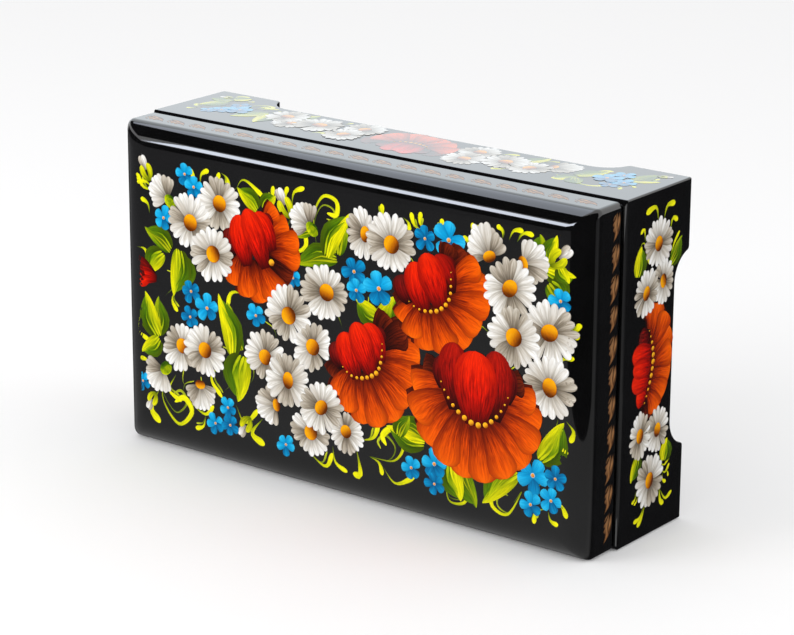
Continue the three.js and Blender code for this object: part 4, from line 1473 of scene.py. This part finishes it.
def seen_directly(tree):
    """1 for the eye, in reflections and through glass, and 0 for light that falls on things."""
    path = add(tree, "ShaderNodeLightPath")
    seen = add(tree, "ShaderNodeMath", {
        0: path.outputs["Is Camera Ray"], 1: path.outputs["Is Glossy Ray"]}, operation="MAXIMUM")
    through = add(tree, "ShaderNodeMath", {
        0: seen.outputs["Value"], 1: path.outputs["Is Transmission Ray"]}, operation="MAXIMUM")
    return through.outputs["Value"]


def world():
    """White all round, a little dimmer as light than as a background and in reflections."""
    scene_world = bpy.data.worlds.new("studio")
    scene_world.use_nodes = True
    tree = scene_world.node_tree
    tree.nodes.clear()
    level = add(tree, "ShaderNodeMapRange", {"Value": seen_directly(tree), "To Min": 0.86, "To Max": 1.0})
    light = add(tree, "ShaderNodeBackground", {"Color": (1, 1, 1, 1), "Strength": level.outputs["Result"]})
    add(tree, "ShaderNodeOutputWorld", {"Surface": light.outputs["Background"]})
    bpy.context.scene.world = scene_world


def backdrop():
    """White sweep under the box: mostly lit by itself for the eye, and it keeps the soft shadow."""
    material, tree = new_material("paper_sweep")
    glow = add(tree, "ShaderNodeMath", {0: seen_directly(tree), 1: 0.06}, operation="MULTIPLY")
    paper = add(tree, "ShaderNodeBsdfDiffuse", {"Color": PAPER_WHITE})
    own = add(tree, "ShaderNodeEmission", {"Color": (1, 1, 1, 1), "Strength": glow.outputs["Value"]})
    both = add(tree, "ShaderNodeAddShader", {0: paper.outputs["BSDF"], 1: own.outputs["Emission"]})
    add(tree, "ShaderNodeOutputMaterial", {"Surface": both.outputs["Shader"]})
    return mesh_piece("sweep", level_square(SWEEP_REACH, -0.3), [(0, 1, 2, 3)], material, smooth=False)


def lamp(name, place, target, width, height, power):
    data = bpy.data.lights.new(name, "AREA")
    data.shape = "RECTANGLE"
    data.size = width
    data.size_y = height
    data.energy = power
    item = new_object(name, data)
    item.location = place
    way = Vector(target) - Vector(place)
    item.rotation_euler = way.to_track_quat("-Z", "Y").to_euler()
    item.visible_glossy = False
    item.visible_camera = False


def glow_material(name, level, colour="#FFFFFF"):
    """Plain light of one level."""
    material, tree = new_material(name)
    light = add(tree, "ShaderNodeEmission", {"Color": rgba(colour), "Strength": level})
    add(tree, "ShaderNodeOutputMaterial", {"Surface": light.outputs["Emission"]})
    return material


def only_reflected(piece):
    """A card that only shows in the lacquer: no part of the picture, the light or the shadows."""
    piece.visible_camera = False
    piece.visible_diffuse = False
    piece.visible_shadow = False
    piece.visible_transmission = False
    piece.visible_volume_scatter = False


def dome_card(name, azimuths, elevations, distance, material, columns=24, rows=8):
    """Curved card round the box, between two azimuths and two elevations in degrees.
    Azimuth 0 is straight in front of the lid and turns towards the right-hand side."""
    points = []
    faces = []
    for r in range(rows + 1):
        up = math.radians(elevations[0] + (elevations[1] - elevations[0]) * r / rows)
        for c in range(columns + 1):
            round_it = math.radians(azimuths[0] + (azimuths[1] - azimuths[0]) * c / columns)
            points.append((distance * math.sin(round_it) * math.cos(up),
                           -distance * math.cos(round_it) * math.cos(up),
                           75 + distance * math.sin(up)))
    for r in range(rows):
        for c in range(columns):
            a = r * (columns + 1) + c
            faces.append((a, a + 1, a + columns + 2, a + columns + 1))
    piece = mesh_piece(name, points, faces, material)
    only_reflected(piece)
    return piece


def floor_card():
    """Glowing grey card flat round the box that only shows in the lacquer: a painted reflection of the
    lit floor. A painted pool of light makes it light grey near the lid and darker with distance, and
    painted shade makes it black beside and behind the box."""
    material, tree = new_material("grey_floor_card")
    place = object_place(tree)
    # Painted pool of light: the glow is lightest near a spot by the box and darker with distance
    from_spot = add(tree, "ShaderNodeVectorMath", {0: place, 1: CARD_BRIGHT_SPOT}, operation="DISTANCE")
    far = add(tree, "ShaderNodeMapRange", {"Value": from_spot.outputs["Value"], "From Max": 0.7})
    spread = stops(tree, far.outputs["Result"], CARD_BY_DISTANCE)
    parts = add(tree, "ShaderNodeSeparateXYZ", {"Vector": place})
    # Painted highlight: a brighter band of glow close in front of the lid, fading out 22 mm in front of its
    # face
    ahead = add(tree, "ShaderNodeMapRange", {
        "Value": parts.outputs["Y"], "From Min": lid_high[1] * MM, "From Max": (lid_face_y - 22) * MM,
        "To Min": 1.0, "To Max": 0.0})
    near = stops(tree, ahead.outputs["Result"], [(0.0, "#000000"), (0.35, "#1A1A1A"), (0.8, "#646464")])
    front = mixed_colours(tree, 1.0, spread, near, blend_type="ADD")
    # Painted shade in the reflections: the card's glow turns black past the right-hand and left-hand ends
    # of the box, under it and behind it
    across = add(tree, "ShaderNodeMath", {0: parts.outputs["X"]}, operation="ABSOLUTE")
    beyond = add(tree, "ShaderNodeMath", {0: across.outputs["Value"], 1: lid_high[0] * MM},
                 operation="SUBTRACT")
    outside = add(tree, "ShaderNodeMath", {0: beyond.outputs["Value"], 1: 4 * MM}, operation="MAXIMUM")
    before = add(tree, "ShaderNodeMath", {0: parts.outputs["Y"], 1: (lid_face_y + 4) * MM},
                 operation="SUBTRACT")
    slope = add(tree, "ShaderNodeMath", {0: before.outputs["Value"], 1: outside.outputs["Value"]},
                operation="DIVIDE")
    away = add(tree, "ShaderNodeMapRange", {
        "Value": slope.outputs["Value"], "From Min": -0.1, "From Max": 0.4, "To Min": 0.0, "To Max": 1.0})
    shade = mixed_colours(tree, away.outputs["Result"], front, CARD_BLACK)
    light = add(tree, "ShaderNodeEmission", {"Color": shade, "Strength": 1.0})
    add(tree, "ShaderNodeOutputMaterial", {"Surface": light.outputs["Emission"]})
    square = level_square(CARD_REACH, 0.4)
    piece = mesh_piece("grey_floor_card", square, [(0, 1, 2, 3)], material, smooth=False)
    only_reflected(piece)
    return piece


def standing_card():
    """Black card that stands in front of the right half, outside the picture. It gives the lid's
    right-hand roundover its black reflection."""
    (x0, y0), (x1, y1) = STANDING_CARD
    top = STANDING_CARD_HEIGHT
    points = [(x0, y0, 0), (x1, y1, 0), (x1, y1, top), (x0, y0, top)]
    black = glow_material("black_card", BLACK_LEVEL)
    piece = mesh_piece("black_standing_card", points, [(0, 1, 2, 3)], black, smooth=False)
    only_reflected(piece)
    return piece


def studio():
    camera()
    world()
    pieces = [backdrop(), floor_card(), standing_card()]
    for name, azimuths, elevations, distance, level, colour in DOME_CARDS:
        material = glow_material(name, level, colour)
        pieces.append(dome_card(name, azimuths, elevations, distance, material))
    lamp("softbox", (-0.75, -1.0, 0.5), (0, 0, 0.07), 0.8, 0.5, 6.9)
    lamp("softbox_right", (1.1, 0.35, 0.75), (0, 0, 0.07), 0.8, 0.8, 2.6)
    bpy.context.scene.view_settings.view_transform = "Standard"


# The box

def dress(names, material):
    """Gives CAD nodes that stay in view their finish."""
    for name in names:
        node = frame["nodes"][name]
        node.data.materials.clear()
        node.data.materials.append(material)


def box_and_lid():
    lacquer = black_lacquer()
    body = body_shell(lacquer)
    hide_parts(*["wall_" + side for side in SIDES])
    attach(body, "box")
    lid = lid_shell(lacquer)
    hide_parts("lid_board", *["lid_rail_" + side for side in SIDES])
    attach(lid, "lid")
    velvet = red_velvet()
    for name, node, part in (("floor_velvet", "floor_lining", "box"), ("lid_velvet", "lid_lining", "lid")):
        piece = lining(name, node, velvet)
        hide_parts(node)
        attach(piece, part)
    dress(["rim_strip_" + side for side in SIDES] + ["bottom_board"], satin_lacquer())
    blocks = ["corner_block_" + a + "_" + b for a in ("lower", "upper") for b in ("left", "right")]
    dress(blocks, sanded_lime())


box_and_lid()
paintings()
studio()
